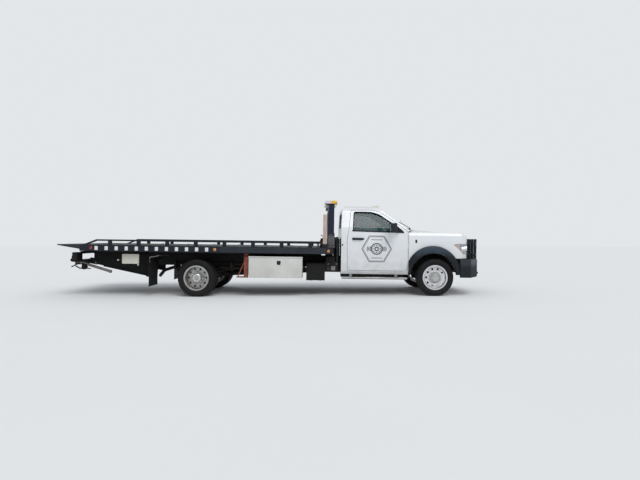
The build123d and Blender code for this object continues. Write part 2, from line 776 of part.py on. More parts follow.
for name, side in SIDES:
    ends = sorted((side * (CAB_HALF - 233), side * OUTSIDE))
    with BuildPart() as door:
        add((CAB_OUT - CAB_IN) & prism(DOOR_OUTLINE, *ends))
        box((0, FAR), sorted((0, side * (CAB_HALF - CAB_WALL))), (0, BELT), Mode.SUBTRACT)
        front_wall = (CAB_FRONT - CAB_WALL - 10, FAR)
        box(front_wall, sorted((0, side * BELT_IN)), (BELT - 1, BELT + 220), Mode.SUBTRACT)
        add(prism(WINDOW_OUTLINE, *ends), mode=Mode.SUBTRACT)
        # Hinge barrels in the seam at the front post, each on its leaf
        for z in HINGE_Z:
            with BuildSketch(Plane.XY.offset(z)):
                with Locations((HINGE_PIN[0], side * HINGE_PIN[1])):
                    Circle(DOOR_GAP / 2 - FIT)
            extrude(amount=HINGE_LENGTH)
            leaf = sorted((side * (HINGE_PIN[1] - 3), side * HINGE_PIN[1]))
            box((DOOR_FRONT - 8, HINGE_PIN[0]), leaf, (z, z + HINGE_LENGTH))
    save(door, f"door_{name}")

    with BuildPart() as door_glass:
        add(PANE & prism(WINDOW_OUTLINE, *ends, gap=-FIT))
    save(door_glass, f"door_glass_{name}")

    # The sail closes the front corner of the window
    window_corner = Pos(SAIL_BACK + 500, 0, 1500) * Box(1000, 4000, 1000)
    sail = prism(WINDOW_OUTLINE, *sorted((side * SAIL_Y[0], side * SAIL_Y[1])), gap=-FIT) & window_corner
    with BuildPart() as mirror:
        with BuildSketch(Plane.XY.offset(1455)):
            with Locations((MIRROR_CENTRE[0], side * MIRROR_CENTRE[1])):
                RectangleRounded(140, 200, 40)
        extrude(amount=195)
        fillet(mirror.faces().sort_by(Axis.Z)[-1].edges(), 20)
        with BuildSketch(Plane.XY.offset(1474)):
            with BuildLine():
                Polyline(*[(CAB_BACK + x, side * (CAB_HALF + y)) for x, y in MIRROR_ARM], close=True)
            make_face()
        extrude(amount=26)
        add(sail)
    save(mirror, f"mirror_{name}")

STEERING_WHEEL = (CAB_BACK + 1083, 370, 1330)

with BuildPart() as dashboard:
    half = CAB_HALF - 103
    wall = CAB_LENGTH - CAB_WALL - FIT
    outline = from_cab(
        (1248, 1180, 40),
        (1218, 1300, 60),
        (1258, 1400, 60),
        (1398, 1430, 40),
        (wall, 1360),
        (wall, 1100),
        (1288, 1090),
    )
    with BuildSketch(Plane.XZ.offset(-half)):
        with BuildLine():
            closed_line(outline)
        make_face()
    extrude(amount=2 * half)
    lean = radians(28)
    wheel_plane = Plane(origin=STEERING_WHEEL, x_dir=(0, 1, 0), z_dir=(-cos(lean), 0, sin(lean)))
    with Locations(wheel_plane):
        Torus(185, 15)
        Cylinder(34, 60)
        Box(360, 26, 14)
        with Locations((0, 0, -110)):
            Cylinder(26, 230)
save(dashboard, "dashboard")

with BuildPart() as seat:
    half = CAB_HALF - 283
    outline = from_cab(
        (228, FLOOR_TOP + FIT),
        (198, 1100, 60),
        (83, 1640, 20),
        (103, 1690, 20),
        (178, 1690, 50),
        (308, 1230, 60),
        (768, 1200, 25),
        (798, 1160, 20),
        (768, 1080, 20),
        (708, FLOOR_TOP + FIT),
    )
    with BuildSketch(Plane.XZ.offset(-half)):
        with BuildLine():
            closed_line(outline)
        make_face()
    extrude(amount=2 * half)
save(seat, "seat")


# Front clip

CLIP_TOP = (
    (CLIP_BACK, 1552),
    *from_axle((-459, 1540), (-306, 1507, 1500), (94, 1470, 4000), (498, 1444, 1000)),
    *from_axle((656, 1420, 500), (781, 1372, 400), (866, 1318, 150)),
    (NOSE, 1250, 80),
    (NOSE, 880),
    *from_axle((506, 700), (506, 560)),
    (CLIP_BACK, 560),
)
CLIP_SECTION = (
    (CAB_HALF - 28, 560),
    (CAB_HALF, 760, 400),
    (CAB_HALF, 1250, 800),
    (CAB_HALF - 13, 1400, 120),
    (CAB_HALF - 48, 1458, 60),
    (CAB_HALF - 123, 1482, 300),
    (0, 1570, 4000),
)
CLIP_CORNER = (
    (NOSE - 200, CAB_HALF - 143),
    (NOSE - 305, CAB_HALF - 33),
    (NOSE - 455, CAB_HALF + 97),
    (CAB_BACK, CAB_HALF + 97),
)


def clip(inset):
    """The bonnet and wings as one closed form, drawn in by an inset."""
    with BuildPart() as form:
        with BuildSketch(Plane.XZ):
            with BuildLine():
                closed_line(CLIP_TOP, inset)
            make_face()
        extrude(amount=OUTSIDE, both=True)
        with BuildSketch(Plane.YZ):
            with BuildLine():
                closed_line(mirrored(CLIP_SECTION), inset)
            make_face()
        extrude(amount=FAR, mode=Mode.INTERSECT)
        right_corner = [(x, -y) for x, y in reversed(CLIP_CORNER)]
        with BuildSketch(Plane.XY):
            with BuildLine():
                ThreePointArc(right_corner[-1], (NOSE, 0), CLIP_CORNER[0])
                Polyline(*CLIP_CORNER, *right_corner)
            make_face()
            if inset:
                offset(amount=-inset, kind=Kind.INTERSECTION)
        extrude(amount=3000, mode=Mode.INTERSECT)
    return form.part


CLIP_OUT = clip(0)
CLIP_IN = clip(SKIN)
CLIP_DEEP = clip(90)
CLIP_REAR = Pos(CLIP_BACK + SKIN / 2 - 5, 0, 980) * Box(SKIN + 10, 2 * (CAB_HALF - 73), 3000)
CLIP_SKIN = CLIP_OUT - CLIP_IN - CLIP_REAR
GRILLE_TOP = 1238
LAMP_OUTLINE = from_axle((396, 1205), (506, 1222), (1006, 1222), (1006, 985), (646, 985))
LAMP_IN = CAB_HALF - 393
COWL_GAP = 8
HOOD_BACK = COWL_FRONT + COWL_GAP
HOOD_PIN = (COWL_FRONT + COWL_GAP / 2, 1532)


def beside(y_in, y_out):
    """A pair of tall blocks, right and left, that pick out part of the clip."""
    with BuildPart() as form:
        both((CAB_BACK, FAR), (y_in, y_out), (0, FAR))
    return form.part


def middle_block(half, low, high, x_low):
    """A block about the middle that picks out part of the clip."""
    with BuildPart() as form:
        box((x_low, FAR), (-half, half), (low, high))
    return form.part


with BuildPart() as hood:
    add(CLIP_SKIN & middle_block(HOOD_HALF, GRILLE_TOP + HOOD_SEAM, FAR, HOOD_BACK))
    box((CAB_BACK, NOSE - 115), (-HOOD_HALF - 1, HOOD_HALF + 1), (0, 1360), Mode.SUBTRACT)
    # Hinge leaves that reach the cowl
    both((COWL_FRONT + FIT, HOOD_BACK + 40), (HOOD_HALF - 175, HOOD_HALF - 115), (1455, 1490))
    # Hinge barrel in the cowl's seam, with its leaf
    with BuildSketch(Plane.XZ.offset(-60)):
        with Locations(HOOD_PIN):
            Circle(COWL_GAP / 2 - FIT)
    extrude(amount=120)
    box((HOOD_PIN[0], HOOD_BACK + 2), (-60, 60), (HOOD_PIN[1] - 6, HOOD_PIN[1]))
save(hood, "hood")

lamp_block = prism(LAMP_OUTLINE, LAMP_IN, OUTSIDE) + prism(LAMP_OUTLINE, -OUTSIDE, -LAMP_IN)
lens_in = LAMP_IN + FIT
lens_block = prism(LAMP_OUTLINE, lens_in, OUTSIDE, -FIT) + prism(LAMP_OUTLINE, -OUTSIDE, -lens_in, -FIT)

with BuildPart() as fenders:
    add(CLIP_SKIN & beside(HOOD_HALF + HOOD_SEAM, OUTSIDE))
    add(lamp_block, mode=Mode.SUBTRACT)
    with BuildSketch(Plane.XZ.offset(-OUTSIDE)):
        with Locations((ARCH_X, ARCH_Z)):
            Circle(ARCH_RADIUS)
        with Locations((ARCH_X, ARCH_Z - 300)):
            Rectangle(2 * ARCH_RADIUS, 600)
    extrude(amount=2 * OUTSIDE, mode=Mode.SUBTRACT)
    box((WHEELBASE + 446, FAR), (-OUTSIDE, OUTSIDE), (0, 900), Mode.SUBTRACT)
    box((CAB_BACK, COWL_FRONT + 6), (-OUTSIDE, OUTSIDE), (COWL_SEAM, FAR), Mode.SUBTRACT)
save(fenders, "fenders")

with BuildPart() as headlamps:
    add((CLIP_OUT - CLIP_DEEP) & lens_block)
save(headlamps, "headlamps")

GRILLE_LOW = 905
GRILLE_BARS = 5

with BuildPart() as grille:
    add((CLIP_OUT - CLIP_DEEP) & middle_block(LAMP_IN - FIT, GRILLE_LOW, GRILLE_TOP, WHEELBASE + 506))
    pitch = (GRILLE_TOP - GRILLE_LOW - 40) / GRILLE_BARS
    for index in range(GRILLE_BARS):
        low = GRILLE_LOW + 30 + index * pitch
        both((WHEELBASE + 306, FAR), (16, LAMP_IN - 60), (low, low + pitch - 18), Mode.SUBTRACT)
save(grille, "grille")

with BuildPart() as flares:
    for side in (-1, 1):
        plane_at = Plane.XZ.offset(-side * (CAB_HALF - 12))
        with BuildSketch(plane_at):
            with Locations((FLARE_X, FLARE_Z)):
                Circle(FLARE_RADIUS)
            with Locations((ARCH_X, ARCH_Z)):
                Circle(ARCH_RADIUS, mode=Mode.SUBTRACT)
            with Locations((FLARE_X, 200)):
                Rectangle(1400, 680, mode=Mode.SUBTRACT)
            with Locations((CLIP_BACK - 102, 600)):
                Rectangle(200, 2000, mode=Mode.SUBTRACT)
        extrude(amount=-side * (FLARE_HALF - CAB_HALF + 12))
    chamfer(
        [
            edge
            for edge in flares.edges().filter_by(GeomType.CIRCLE)
            if edge.radius == FLARE_RADIUS and abs(abs(edge.center().Y) - FLARE_HALF) < 1
        ],
        34,
    )
    add(CLIP_OUT, mode=Mode.SUBTRACT)
save(flares, "flares")


# Bumper, grille guard and side steps

BUMPER_Z = (482, 884)
BUMPER_HALF = CAB_HALF + 47
BUMPER_WALL = 40
BUMPER_IN = BUMPER_HALF - BUMPER_WALL
BUMPER_PLAN = ((WHEELBASE + 546, BUMPER_HALF), (WHEELBASE + 774, BUMPER_HALF, 60), (BUMPER_FACE, 600, 90))
BUMPER_HOLLOW = ((WHEELBASE + 536, BUMPER_IN), (WHEELBASE + 751, BUMPER_IN, 30), (BUMPER_FACE - 45, 580, 50))

with BuildPart() as front_bumper:
    for plan, mode in ((BUMPER_PLAN, Mode.ADD), (BUMPER_HOLLOW, Mode.SUBTRACT)):
        with BuildSketch(Plane.XY.offset(BUMPER_Z[0])) as profile:
            with BuildLine():
                closed_line([*plan, *[(x, -y, *rest) for x, y, *rest in reversed(plan)]])
            make_face()
        extrude(profile.sketch, amount=BUMPER_Z[1] - BUMPER_Z[0], mode=mode)
        if mode == Mode.ADD:
            chamfer(front_bumper.edges().group_by(Axis.Z)[-1], 16)
    both((RAIL_FRONT + FIT, BUMPER_FACE - 30), (RAIL_Y - 80, RAIL_Y), (RAIL_BOTTOM + 20, RAIL_TOP - 20))
save(front_bumper, "front_bumper")

GUARD_X = (BUMPER_FACE + FIT, FRONT_REACH)
GUARD_Y = (110, 330)
GUARD_Z = (600, 1334)

with BuildPart() as grille_guard:
    with BuildSketch(Plane.XY.offset(GUARD_Z[0])):
        with Locations(*[(sum(GUARD_X) / 2, side * y) for side in (-1, 1) for y in GUARD_Y]):
            RectangleRounded(GUARD_X[1] - GUARD_X[0], 48, 14)
    extrude(amount=GUARD_Z[1] - GUARD_Z[0])
    chamfer(grille_guard.edges().group_by(Axis.Z)[-1], 8)
    for z in (940, 1200):
        box((GUARD_X[0] + 10, GUARD_X[0] + 48), (-GUARD_Y[1], GUARD_Y[1]), (z, z + 38))
save(grille_guard, "grille_guard")

EYE = (BUMPER_FACE + 25, 560)
EYE_RADIUS = 30

with BuildPart() as tow_eye:
    for side in (-1, 1):
        with BuildSketch(Plane.XZ.offset(-side * 480 - 12.5)):
            with Locations(EYE):
                Circle(EYE_RADIUS)
            with Locations((EYE[0] - EYE_RADIUS, EYE[1])):
                Rectangle(2 * EYE_RADIUS, 2 * EYE_RADIUS)
            with Locations(EYE):
                Circle(12.5, mode=Mode.SUBTRACT)
        extrude(amount=25)
    add(front_bumper.part, mode=Mode.SUBTRACT)
save(tow_eye, "tow_eyes")

STEP_Y = CAB_HALF + 47
STEP_Z = 448
STEP_RADIUS = 24

with BuildPart() as side_steps:
    for side in (-1, 1):
        with BuildSketch(Plane.YZ.offset(CAB_BACK + 13)):
            with Locations((side * STEP_Y, STEP_Z)):
                Circle(STEP_RADIUS)
        extrude(amount=CAB_LENGTH - 50)
        inner = side * (STEP_Y - 140)
        for x in (CAB_BACK + 218, CAB_FRONT - 262):
            box((x - 30, x + 30), sorted((inner, side * (STEP_Y - 6))), (STEP_Z - 10, STEP_Z + 10))
            box(
                (x - 30, x + 30),
                sorted((inner, inner + side * 30)),
                (STEP_Z - 10, ROCKER_BOTTOM - FIT),
            )
save(side_steps, "side_steps")


# Bed

with BuildPart() as bed_deck:
    box((DECK_SHOULDER, DECK_FRONT), (-DECK_HALF + 12, DECK_HALF - 12), (DECK_TOP - DECK_PLATE, DECK_TOP))
    add(
        prism(
            (
                (-TAIL_REACH, DECK_TOP),
                (-TAIL_REACH, DECK_TOP - 20),
                (DECK_SHOULDER, DECK_TOP - 97),
                (DECK_SHOULDER, DECK_TOP),
            ),
            -DECK_HALF,
            DECK_HALF,
        )
    )
save(bed_deck, "bed_deck")

SILL_TOP = DECK_TOP - DECK_PLATE - FIT
CROSS_BOTTOM = 1000
ROD_Z = 940
ROD_X = -560
ROD_RADIUS = 16

with BuildPart() as bed_sills:
    for x in (DECK_SHOULDER + 60, *[POST_FIRST + index * POST_PITCH for index in range(POST_COUNT)]):
        box((x - 30, x + 30), (-CROSS_HALF, CROSS_HALF), (CROSS_BOTTOM, SILL_TOP))
    both(
        (DECK_SHOULDER + 30, DECK_FRONT),
        (SILL_Y - SILL_WIDTH / 2, SILL_Y + SILL_WIDTH / 2),
        (SILL_BOTTOM, SILL_TOP),
    )
    box((ROD_X - 30, ROD_X + 30), (-40, 40), (ROD_Z - 24, CROSS_BOTTOM + 1))
    box((ROD_X - 30, ROD_X + 30), (-SILL_Y, SILL_Y), (CROSS_BOTTOM, SILL_TOP))
    with BuildSketch(Plane.YZ.offset(ROD_X)):
        with Locations((0, ROD_Z)):
            Circle(ROD_RADIUS)
    extrude(amount=SUBFRAME_FRONT - 160 - ROD_X)
save(bed_sills, "bed_sills")

CHANNEL_Z = (DECK_TOP - CHANNEL_HEIGHT, DECK_TOP)

with BuildPart() as side_rails:
    both((DECK_SHOULDER, DECK_FRONT), (DECK_HALF - 12, DECK_HALF), CHANNEL_Z)
    for z in (CHANNEL_Z[0], CHANNEL_Z[1] - DECK_PLATE - 12):
        both((DECK_SHOULDER, DECK_FRONT), (CROSS_HALF + FIT, DECK_HALF - 11), (z, z + 10))
    for side in (-1, 1):
        ends = sorted((side * (DECK_HALF - 42), side * (DECK_HALF - 4)))
        bar = (
            (-2440, DECK_TOP + FIT),
            (-2150, BAR_TOP),
            (DECK_FRONT - 260, BAR_TOP),
            (DECK_FRONT - 260, BAR_TOP - BAR_HEIGHT),
            (-2140, BAR_TOP - BAR_HEIGHT),
            (-2345, DECK_TOP + FIT),
        )
        add(prism(bar, *ends))
save(side_rails, "side_rails")

with BuildPart() as rail_posts:
    for index in range(POST_COUNT):
        x = POST_FIRST + index * POST_PITCH
        both(
            (x - POST_LENGTH / 2, x + POST_LENGTH / 2),
            (DECK_HALF - 38, DECK_HALF - 8),
            (DECK_TOP + FIT, BAR_TOP - BAR_HEIGHT - FIT),
        )
save(rail_posts, "rail_posts")

RACK_Y = (985, 1060)

with BuildPart() as headache_rack:
    rack = (RACK_X - RACK_DEPTH / 2, RACK_X + RACK_DEPTH / 2)
    both(rack, RACK_Y, (DECK_TOP + FIT, RACK_TOP))
    box(rack, (-RACK_Y[1], RACK_Y[1]), (RACK_TOP - 70, RACK_TOP))
    box((RACK_X - 30, RACK_X + 30), (-RACK_Y[0], RACK_Y[0]), (1440, 1500))
    for index in range(-7, 8):
        with BuildSketch(Plane.XY.offset(1490)):
            with Locations((RACK_X, index * 120)):
                Rectangle(16, 30)
        extrude(amount=RACK_TOP - 60 - 1490)
    both((RACK_X - 90, RACK_X + 75), (RACK_Y[0] - 25, RACK_Y[1] + 40), (DECK_TOP + FIT, 1420))
save(headache_rack, "headache_rack")

with BuildPart() as light_bar:
    box((RACK_X - 145, RACK_X + 140), (-700, 700), (2074, 2153))
    chamfer(light_bar.edges().filter_by(Axis.Y).sort_by(Axis.Z)[-2:], 26)
    for y in (-450, 450):
        box((RACK_X - 85, RACK_X + 85), (y - 40, y + 40), (RACK_TOP + FIT, 2075))
save(light_bar, "light_bar")

DRUM = (DECK_FRONT - 190, 1210)

with BuildPart() as winch:
    for y in (-200, 160):
        box((DRUM[0] - 90, DRUM[0] + 90), (y, y + 40), (DECK_TOP + FIT, DRUM[1] + 90))
    with BuildSketch(Plane.XZ.offset(-160)):
        with Locations(DRUM):
            Circle(62)
    extrude(amount=320)
    with BuildSketch(Plane.XZ.offset(-400)):
        with Locations(DRUM):
            Circle(80)
    extrude(amount=201)
save(winch, "winch")


# Subframe with its pivot and the tilt cylinders

PAD = SILL_BOTTOM - SUBFRAME_TOP - FIT
EAR_Y = (RAIL_Y + 5, RAIL_Y + 21)
TILT_FOOT = (PIVOT_X + 500, PIVOT_Z - 260)
TILT_EYE = (PIVOT_X + 1000, PIVOT_Z + 80)
TILT_CROSS = SUBFRAME_TOP - 13
CYLINDER_Y = 250
EYE_PIN = 12
LIFT_FOOT = (LIFT_X - 100, LIFT_Z + 440)
LAMP_BOX_X = (SUBFRAME_TAIL - 112, SUBFRAME_TAIL - 3)
LAMP_BOX_Y = (960, 1200)
LAMP_BOX_Z = (720, 926)
SIDE_PLATE = (
    (SUBFRAME_TAIL + 20, SUBFRAME_BOTTOM + 4),
    (SUBFRAME_TAIL + 20, 715),
    (LIFT_X + 110, LIFT_Z + 50),
    (LIFT_X + 180, LIFT_Z + 50),
    (PIVOT_X - 50, PIVOT_Z - 40),
    (PIVOT_X - 50, SUBFRAME_BOTTOM + 4),
)

with BuildPart() as subframe:
    rail_in, rail_out = SILL_Y - 40, RAIL_Y + 10
    both((SUBFRAME_TAIL, SUBFRAME_FRONT), (rail_in, rail_out), (SUBFRAME_BOTTOM, SUBFRAME_TOP))
    for x in (-2500, -1900, -1100, 100, 1300, SUBFRAME_FRONT - 100):
        box((x - 40, x + 40), (-rail_in - 1, rail_in + 1), (SUBFRAME_BOTTOM, SUBFRAME_BOTTOM + 20))
    for x in (-2450, -1300, 0, 1300, SUBFRAME_FRONT - 100):
        both((x - 80, x + 80), (rail_in + 5, rail_out - 5), (SUBFRAME_TOP - 1, SUBFRAME_TOP + PAD))
    # Side plates that hide the wheel lift, and the bar with the tail lamps' boxes
    add(prism(SIDE_PLATE, rail_out - 1, rail_out + 7))
    add(prism(SIDE_PLATE, -rail_out - 7, -rail_out + 1))
    tail_bar_z = (SUBFRAME_BOTTOM + 4, SUBFRAME_TOP - 10)
    both((SUBFRAME_TAIL - 55, SUBFRAME_TAIL + 1), (300, LAMP_BOX_Y[0] + 1), tail_bar_z)
    both(LAMP_BOX_X, LAMP_BOX_Y, LAMP_BOX_Z)
    # Pivot ears and the pin through the frame's tail tube
    for side in (-1, 1):
        ends = sorted((side * EAR_Y[0], side * EAR_Y[1]))
        add(
            prism(
                (
                    (PIVOT_X - 60, SUBFRAME_TOP - 5),
                    (PIVOT_X - 45, PIVOT_Z - 45),
                    (PIVOT_X + 45, PIVOT_Z - 45),
                    (PIVOT_X + 60, SUBFRAME_TOP - 5),
                ),
                *ends,
            )
        )
    with BuildSketch(Plane.XZ.offset(-EAR_Y[1])):
        with Locations((PIVOT_X, PIVOT_Z)):
            Circle(PIN_RADIUS)
    extrude(amount=2 * EAR_Y[1])
    # Pins for the tilt cylinders' eyes, hung from a crossmember
    both((TILT_EYE[0] - 40, TILT_EYE[0] + 40), (CYLINDER_Y - 50, rail_in + 1), (TILT_CROSS, SUBFRAME_TOP))
    for y in (-CYLINDER_Y, CYLINDER_Y):
        for plate in (y - 45, y + 30):
            box((TILT_EYE[0] - 25, TILT_EYE[0] + 25), (plate, plate + 15), (TILT_EYE[1] - 25, TILT_CROSS + 1))
        with BuildSketch(Plane.XZ.offset(-y - 40)):
            with Locations(TILT_EYE):
                Circle(EYE_PIN)
        extrude(amount=80)
    # Tower that carries the wheel lift
    for side in (-1, 1):
        ends = sorted((side * 190, side * 206))
        add(
            prism(
                (
                    (LIFT_X - 180, SUBFRAME_BOTTOM + 10),
                    (LIFT_X - 70, LIFT_Z - 60),
                    (LIFT_X + 60, LIFT_Z - 60),
                    (LIFT_X + 110, SUBFRAME_BOTTOM + 10),
                ),
                *ends,
            )
        )
    box((LIFT_X - 180, LIFT_X + 110), (-rail_in - 1, rail_in + 1), (SUBFRAME_BOTTOM, SUBFRAME_BOTTOM + 16))
    with BuildSketch(Plane.XZ.offset(-206)):
        with Locations((LIFT_X, LIFT_Z)):
            Circle(PIN_RADIUS)
    extrude(amount=412)
    both((LIFT_FOOT[0] - 25, LIFT_FOOT[0] + 25), (36, 51), (LIFT_FOOT[1] - 25, SUBFRAME_BOTTOM + 1))
    with BuildSketch(Plane.XZ.offset(-51)):
        with Locations(LIFT_FOOT):
            Circle(EYE_PIN)
    extrude(amount=102)
save(subframe, "subframe")

BARREL_RADIUS = 40
BARREL_TAIL = ROD_X + 130

with BuildPart() as slide_barrel:
    with BuildSketch(Plane.YZ.offset(BARREL_TAIL)):
        with Locations((0, ROD_Z)):
            Circle(33)
            Circle(ROD_RADIUS + 5, mode=Mode.SUBTRACT)
    extrude(amount=SUBFRAME_FRONT - BARREL_TAIL)
    with BuildSketch(Plane.YZ.offset(BARREL_TAIL)):
        with Locations((0, ROD_Z)):
            Circle(33)
            Circle(ROD_RADIUS + FIT, mode=Mode.SUBTRACT)
    extrude(amount=40)
    for x in (100, 1300, SUBFRAME_FRONT - 100):
        box((x - 30, x + 30), (-30, 30), (SUBFRAME_BOTTOM + 20 + FIT, ROD_Z - 26))
save(slide_barrel, "slide_barrel")


def ram(foot, eye, y, barrel_share, barrel_radius, rod_radius, part):
    """A hydraulic ram between two pins in the side view: its barrel or its rod."""
    start = Vector(foot[0], y, foot[1])
    end = Vector(eye[0], y, eye[1])
    along = (end - start).normalized()
    length = (end - start).length
    barrel_end = length * barrel_share
    across = Plane(origin=start, x_dir=(0, 1, 0), z_dir=along)
    if part == "barrel":
        with BuildSketch(across.offset(30)) as profile:
            Circle(barrel_radius)
        extrude(profile.sketch, amount=barrel_end - 30)
        with BuildSketch(Plane.XZ.offset(-y - 22)) as profile:
            with Locations(foot):
                Circle(32)
        extrude(profile.sketch, amount=44)
        with BuildSketch(across.offset(60)) as profile:
            Circle(rod_radius + FIT)
        extrude(profile.sketch, amount=barrel_end, mode=Mode.SUBTRACT)
        with BuildSketch(Plane.XZ.offset(-y - 23)) as profile:
            with Locations(foot):
                Circle(EYE_PIN + 0.4)
        extrude(profile.sketch, amount=46, mode=Mode.SUBTRACT)
    else:
        with BuildSketch(across.offset(100)) as profile:
            Circle(rod_radius)
        extrude(profile.sketch, amount=length - 100)
        with BuildSketch(Plane.XZ.offset(-y - 20)) as profile:
            with Locations(eye):
                Circle(33)
        extrude(profile.sketch, amount=40)
        with BuildSketch(Plane.XZ.offset(-y - 24)) as profile:
            with Locations(eye):
                Circle(EYE_PIN + 8)
        extrude(profile.sketch, amount=48, mode=Mode.SUBTRACT)


with BuildPart() as tilt_barrels:
    for y in (-CYLINDER_Y, CYLINDER_Y):
        ram(TILT_FOOT, TILT_EYE, y, 0.8, BARREL_RADIUS, 22, "barrel")
save(tilt_barrels, "tilt_barrels")

with BuildPart() as tilt_rods:
    for y in (-CYLINDER_Y, CYLINDER_Y):
        ram(TILT_FOOT, TILT_EYE, y, 0.8, BARREL_RADIUS, 22, "rod")
save(tilt_rods, "tilt_rods")

with BuildPart() as ram_foot:
    # Crossmember and pins that the tilt cylinders push from
    box((TILT_FOOT[0] - 50, TILT_FOOT[0] + 30), (-330, 330), (TILT_FOOT[1] - 78, TILT_FOOT[1] - 54))
    for side in (-1, 1):
        ends = sorted((side * 330, side * 346))
        box((TILT_FOOT[0] - 50, TILT_FOOT[0] + 30), ends, (TILT_FOOT[1] - 78, RAIL_BOTTOM - FIT))
        ends = sorted((side * 330, side * (RAIL_Y - 10)))
        box((TILT_FOOT[0] - 50, TILT_FOOT[0] + 30), ends, (RAIL_BOTTOM - 12, RAIL_BOTTOM - FIT))
    for y in (-CYLINDER_Y, CYLINDER_Y):
        plate_x = (TILT_FOOT[0] - 25, TILT_FOOT[0] + 25)
        for plate in (y - 56, y + 41):
            box(plate_x, (plate, plate + 15), (TILT_FOOT[1] - 55, TILT_FOOT[1] + 25))
        with BuildSketch(Plane.XZ.offset(-y - 56)):
            with Locations(TILT_FOOT):
                Circle(EYE_PIN)
        extrude(amount=112)
save(ram_foot, "ram_foot")


# Tail lamps

TAIL_LENS_RADIUS = 36

with BuildPart() as tail_lamps:
    middle = (sum(LAMP_BOX_Y) / 2, sum(LAMP_BOX_Z) / 2)
    with BuildSketch(Plane.YZ.offset(LAMP_BOX_X[0] - FIT - 14)):
        for side in (-1, 1):
            for step in (-1, 0, 1):
                with Locations((side * (middle[0] + step * 78), middle[1])):
                    Circle(TAIL_LENS_RADIUS)
    extrude(amount=14)
save(tail_lamps, "tail_lamps")


# Wheel lift, stowed nose up under the tail

BOOM_DIRECTION = Vector(-cos(radians(LIFT_SLOPE)), 0, sin(radians(LIFT_SLOPE)))
BOOM_UP = Vector(sin(radians(LIFT_SLOPE)), 0, cos(radians(LIFT_SLOPE)))
INNER_SIZE = LIFT_SIZE - 2 * LIFT_WALL - 10
CROSSBAR_AT = 1460


def boom_plane(along):
    """A plane across the boom at a distance from its pin; y of the sketch is up."""
    pin = Vector(LIFT_X, 0, LIFT_Z)
    return Plane(origin=pin + BOOM_DIRECTION * along, x_dir=(0, -1, 0), z_dir=BOOM_DIRECTION)


LIFT_EYE_ALONG = 450
LIFT_EYE_UP = 115
LIFT_EYE = (
    LIFT_X + (BOOM_DIRECTION * LIFT_EYE_ALONG + BOOM_UP * LIFT_EYE_UP).X,
    LIFT_Z + (BOOM_DIRECTION * LIFT_EYE_ALONG + BOOM_UP * LIFT_EYE_UP).Z,
)

with BuildPart() as lift_boom:
    with BuildSketch(boom_plane(-50)):
        Rectangle(LIFT_SIZE, LIFT_SIZE)
        Rectangle(LIFT_SIZE - 2 * LIFT_WALL, LIFT_SIZE - 2 * LIFT_WALL, mode=Mode.SUBTRACT)
    extrude(amount=LIFT_BOOM + 50)
    # Wear pads at the mouth, and the cheeks that reach the tower's pin
    with BuildSketch(boom_plane(LIFT_BOOM - 60)):
        Rectangle(LIFT_SIZE - 2 * LIFT_WALL, LIFT_SIZE - 2 * LIFT_WALL)
        Rectangle(INNER_SIZE + 2 * FIT, INNER_SIZE + 2 * FIT, mode=Mode.SUBTRACT)
    extrude(amount=60)
    with BuildSketch(Plane.XZ.offset(-189)):
        with Locations((LIFT_X, LIFT_Z)):
            Circle(60)
    extrude(amount=378)
    with BuildSketch(Plane.XZ.offset(-190)):
        with Locations((LIFT_X, LIFT_Z)):
            Circle(PIN_RADIUS + 0.4)
    extrude(amount=380, mode=Mode.SUBTRACT)
    for y in (-50, 35):
        with BuildSketch(Plane.XZ.offset(-y - 15)):
            with Locations(LIFT_EYE):
                Circle(28)
        extrude(amount=15)
        foot_plane = boom_plane(LIFT_EYE_ALONG - 40)
        with BuildSketch(foot_plane):
            with Locations((-y - 7.5, LIFT_SIZE / 2 + 10)):
                Rectangle(15, 50)
        extrude(amount=80)
    with BuildSketch(Plane.XZ.offset(-48)):
        with Locations(LIFT_EYE):
            Circle(EYE_PIN)
    extrude(amount=96)
save(lift_boom, "lift_boom")

with BuildPart() as lift_extension:
    with BuildSketch(boom_plane(250)):
        Rectangle(INNER_SIZE, INNER_SIZE)
        Rectangle(INNER_SIZE - 16, INNER_SIZE - 16, mode=Mode.SUBTRACT)
    extrude(amount=CROSSBAR_AT - 130 - 250)
    with BuildSketch(boom_plane(CROSSBAR_AT - 130)):
        Rectangle(INNER_SIZE, INNER_SIZE)
    extrude(amount=12)
    for height in (-66, 50):
        with BuildSketch(boom_plane(CROSSBAR_AT - 130)):
            with Locations((0, height + 8)):
                Rectangle(120, 16)
        extrude(amount=180)
    pin_plane = Plane(
        origin=boom_plane(CROSSBAR_AT).origin - BOOM_UP * 66, x_dir=(0, 1, 0), z_dir=BOOM_UP
    )
    with BuildSketch(pin_plane):
        Circle(22)
    extrude(amount=132)
save(lift_extension, "lift_extension")

with BuildPart() as lift_crossbar:
    bar_plane = Plane(
        origin=boom_plane(CROSSBAR_AT).origin - BOOM_UP * 45, x_dir=(0, 1, 0), z_dir=BOOM_UP
    )
    with BuildSketch(bar_plane):
        RectangleRounded(1500, 100, 20)
        Circle(22.4, mode=Mode.SUBTRACT)
    extrude(amount=90)
    for y in (-700, 700):
        receiver = bar_plane.origin + Vector(0, y, 0) + BOOM_UP * 60
        with BuildSketch(Plane(origin=receiver, x_dir=(0, 1, 0), z_dir=BOOM_DIRECTION)):
            Circle(34)
        extrude(amount=170)
save(lift_crossbar, "lift_crossbar")

with BuildPart() as lift_barrel:
    ram(LIFT_FOOT, LIFT_EYE, 0, 0.78, 34, 17, "barrel")
save(lift_barrel, "lift_barrel")

with BuildPart() as lift_rod:
    ram(LIFT_FOOT, LIFT_EYE, 0, 0.78, 34, 17, "rod")
save(lift_rod, "lift_rod")
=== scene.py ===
import json
from math import atan, cos, hypot, pi, radians, sin, sqrt, tan

import bmesh
import bpy
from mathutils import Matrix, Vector
from mathutils.bvhtree import BVHTree


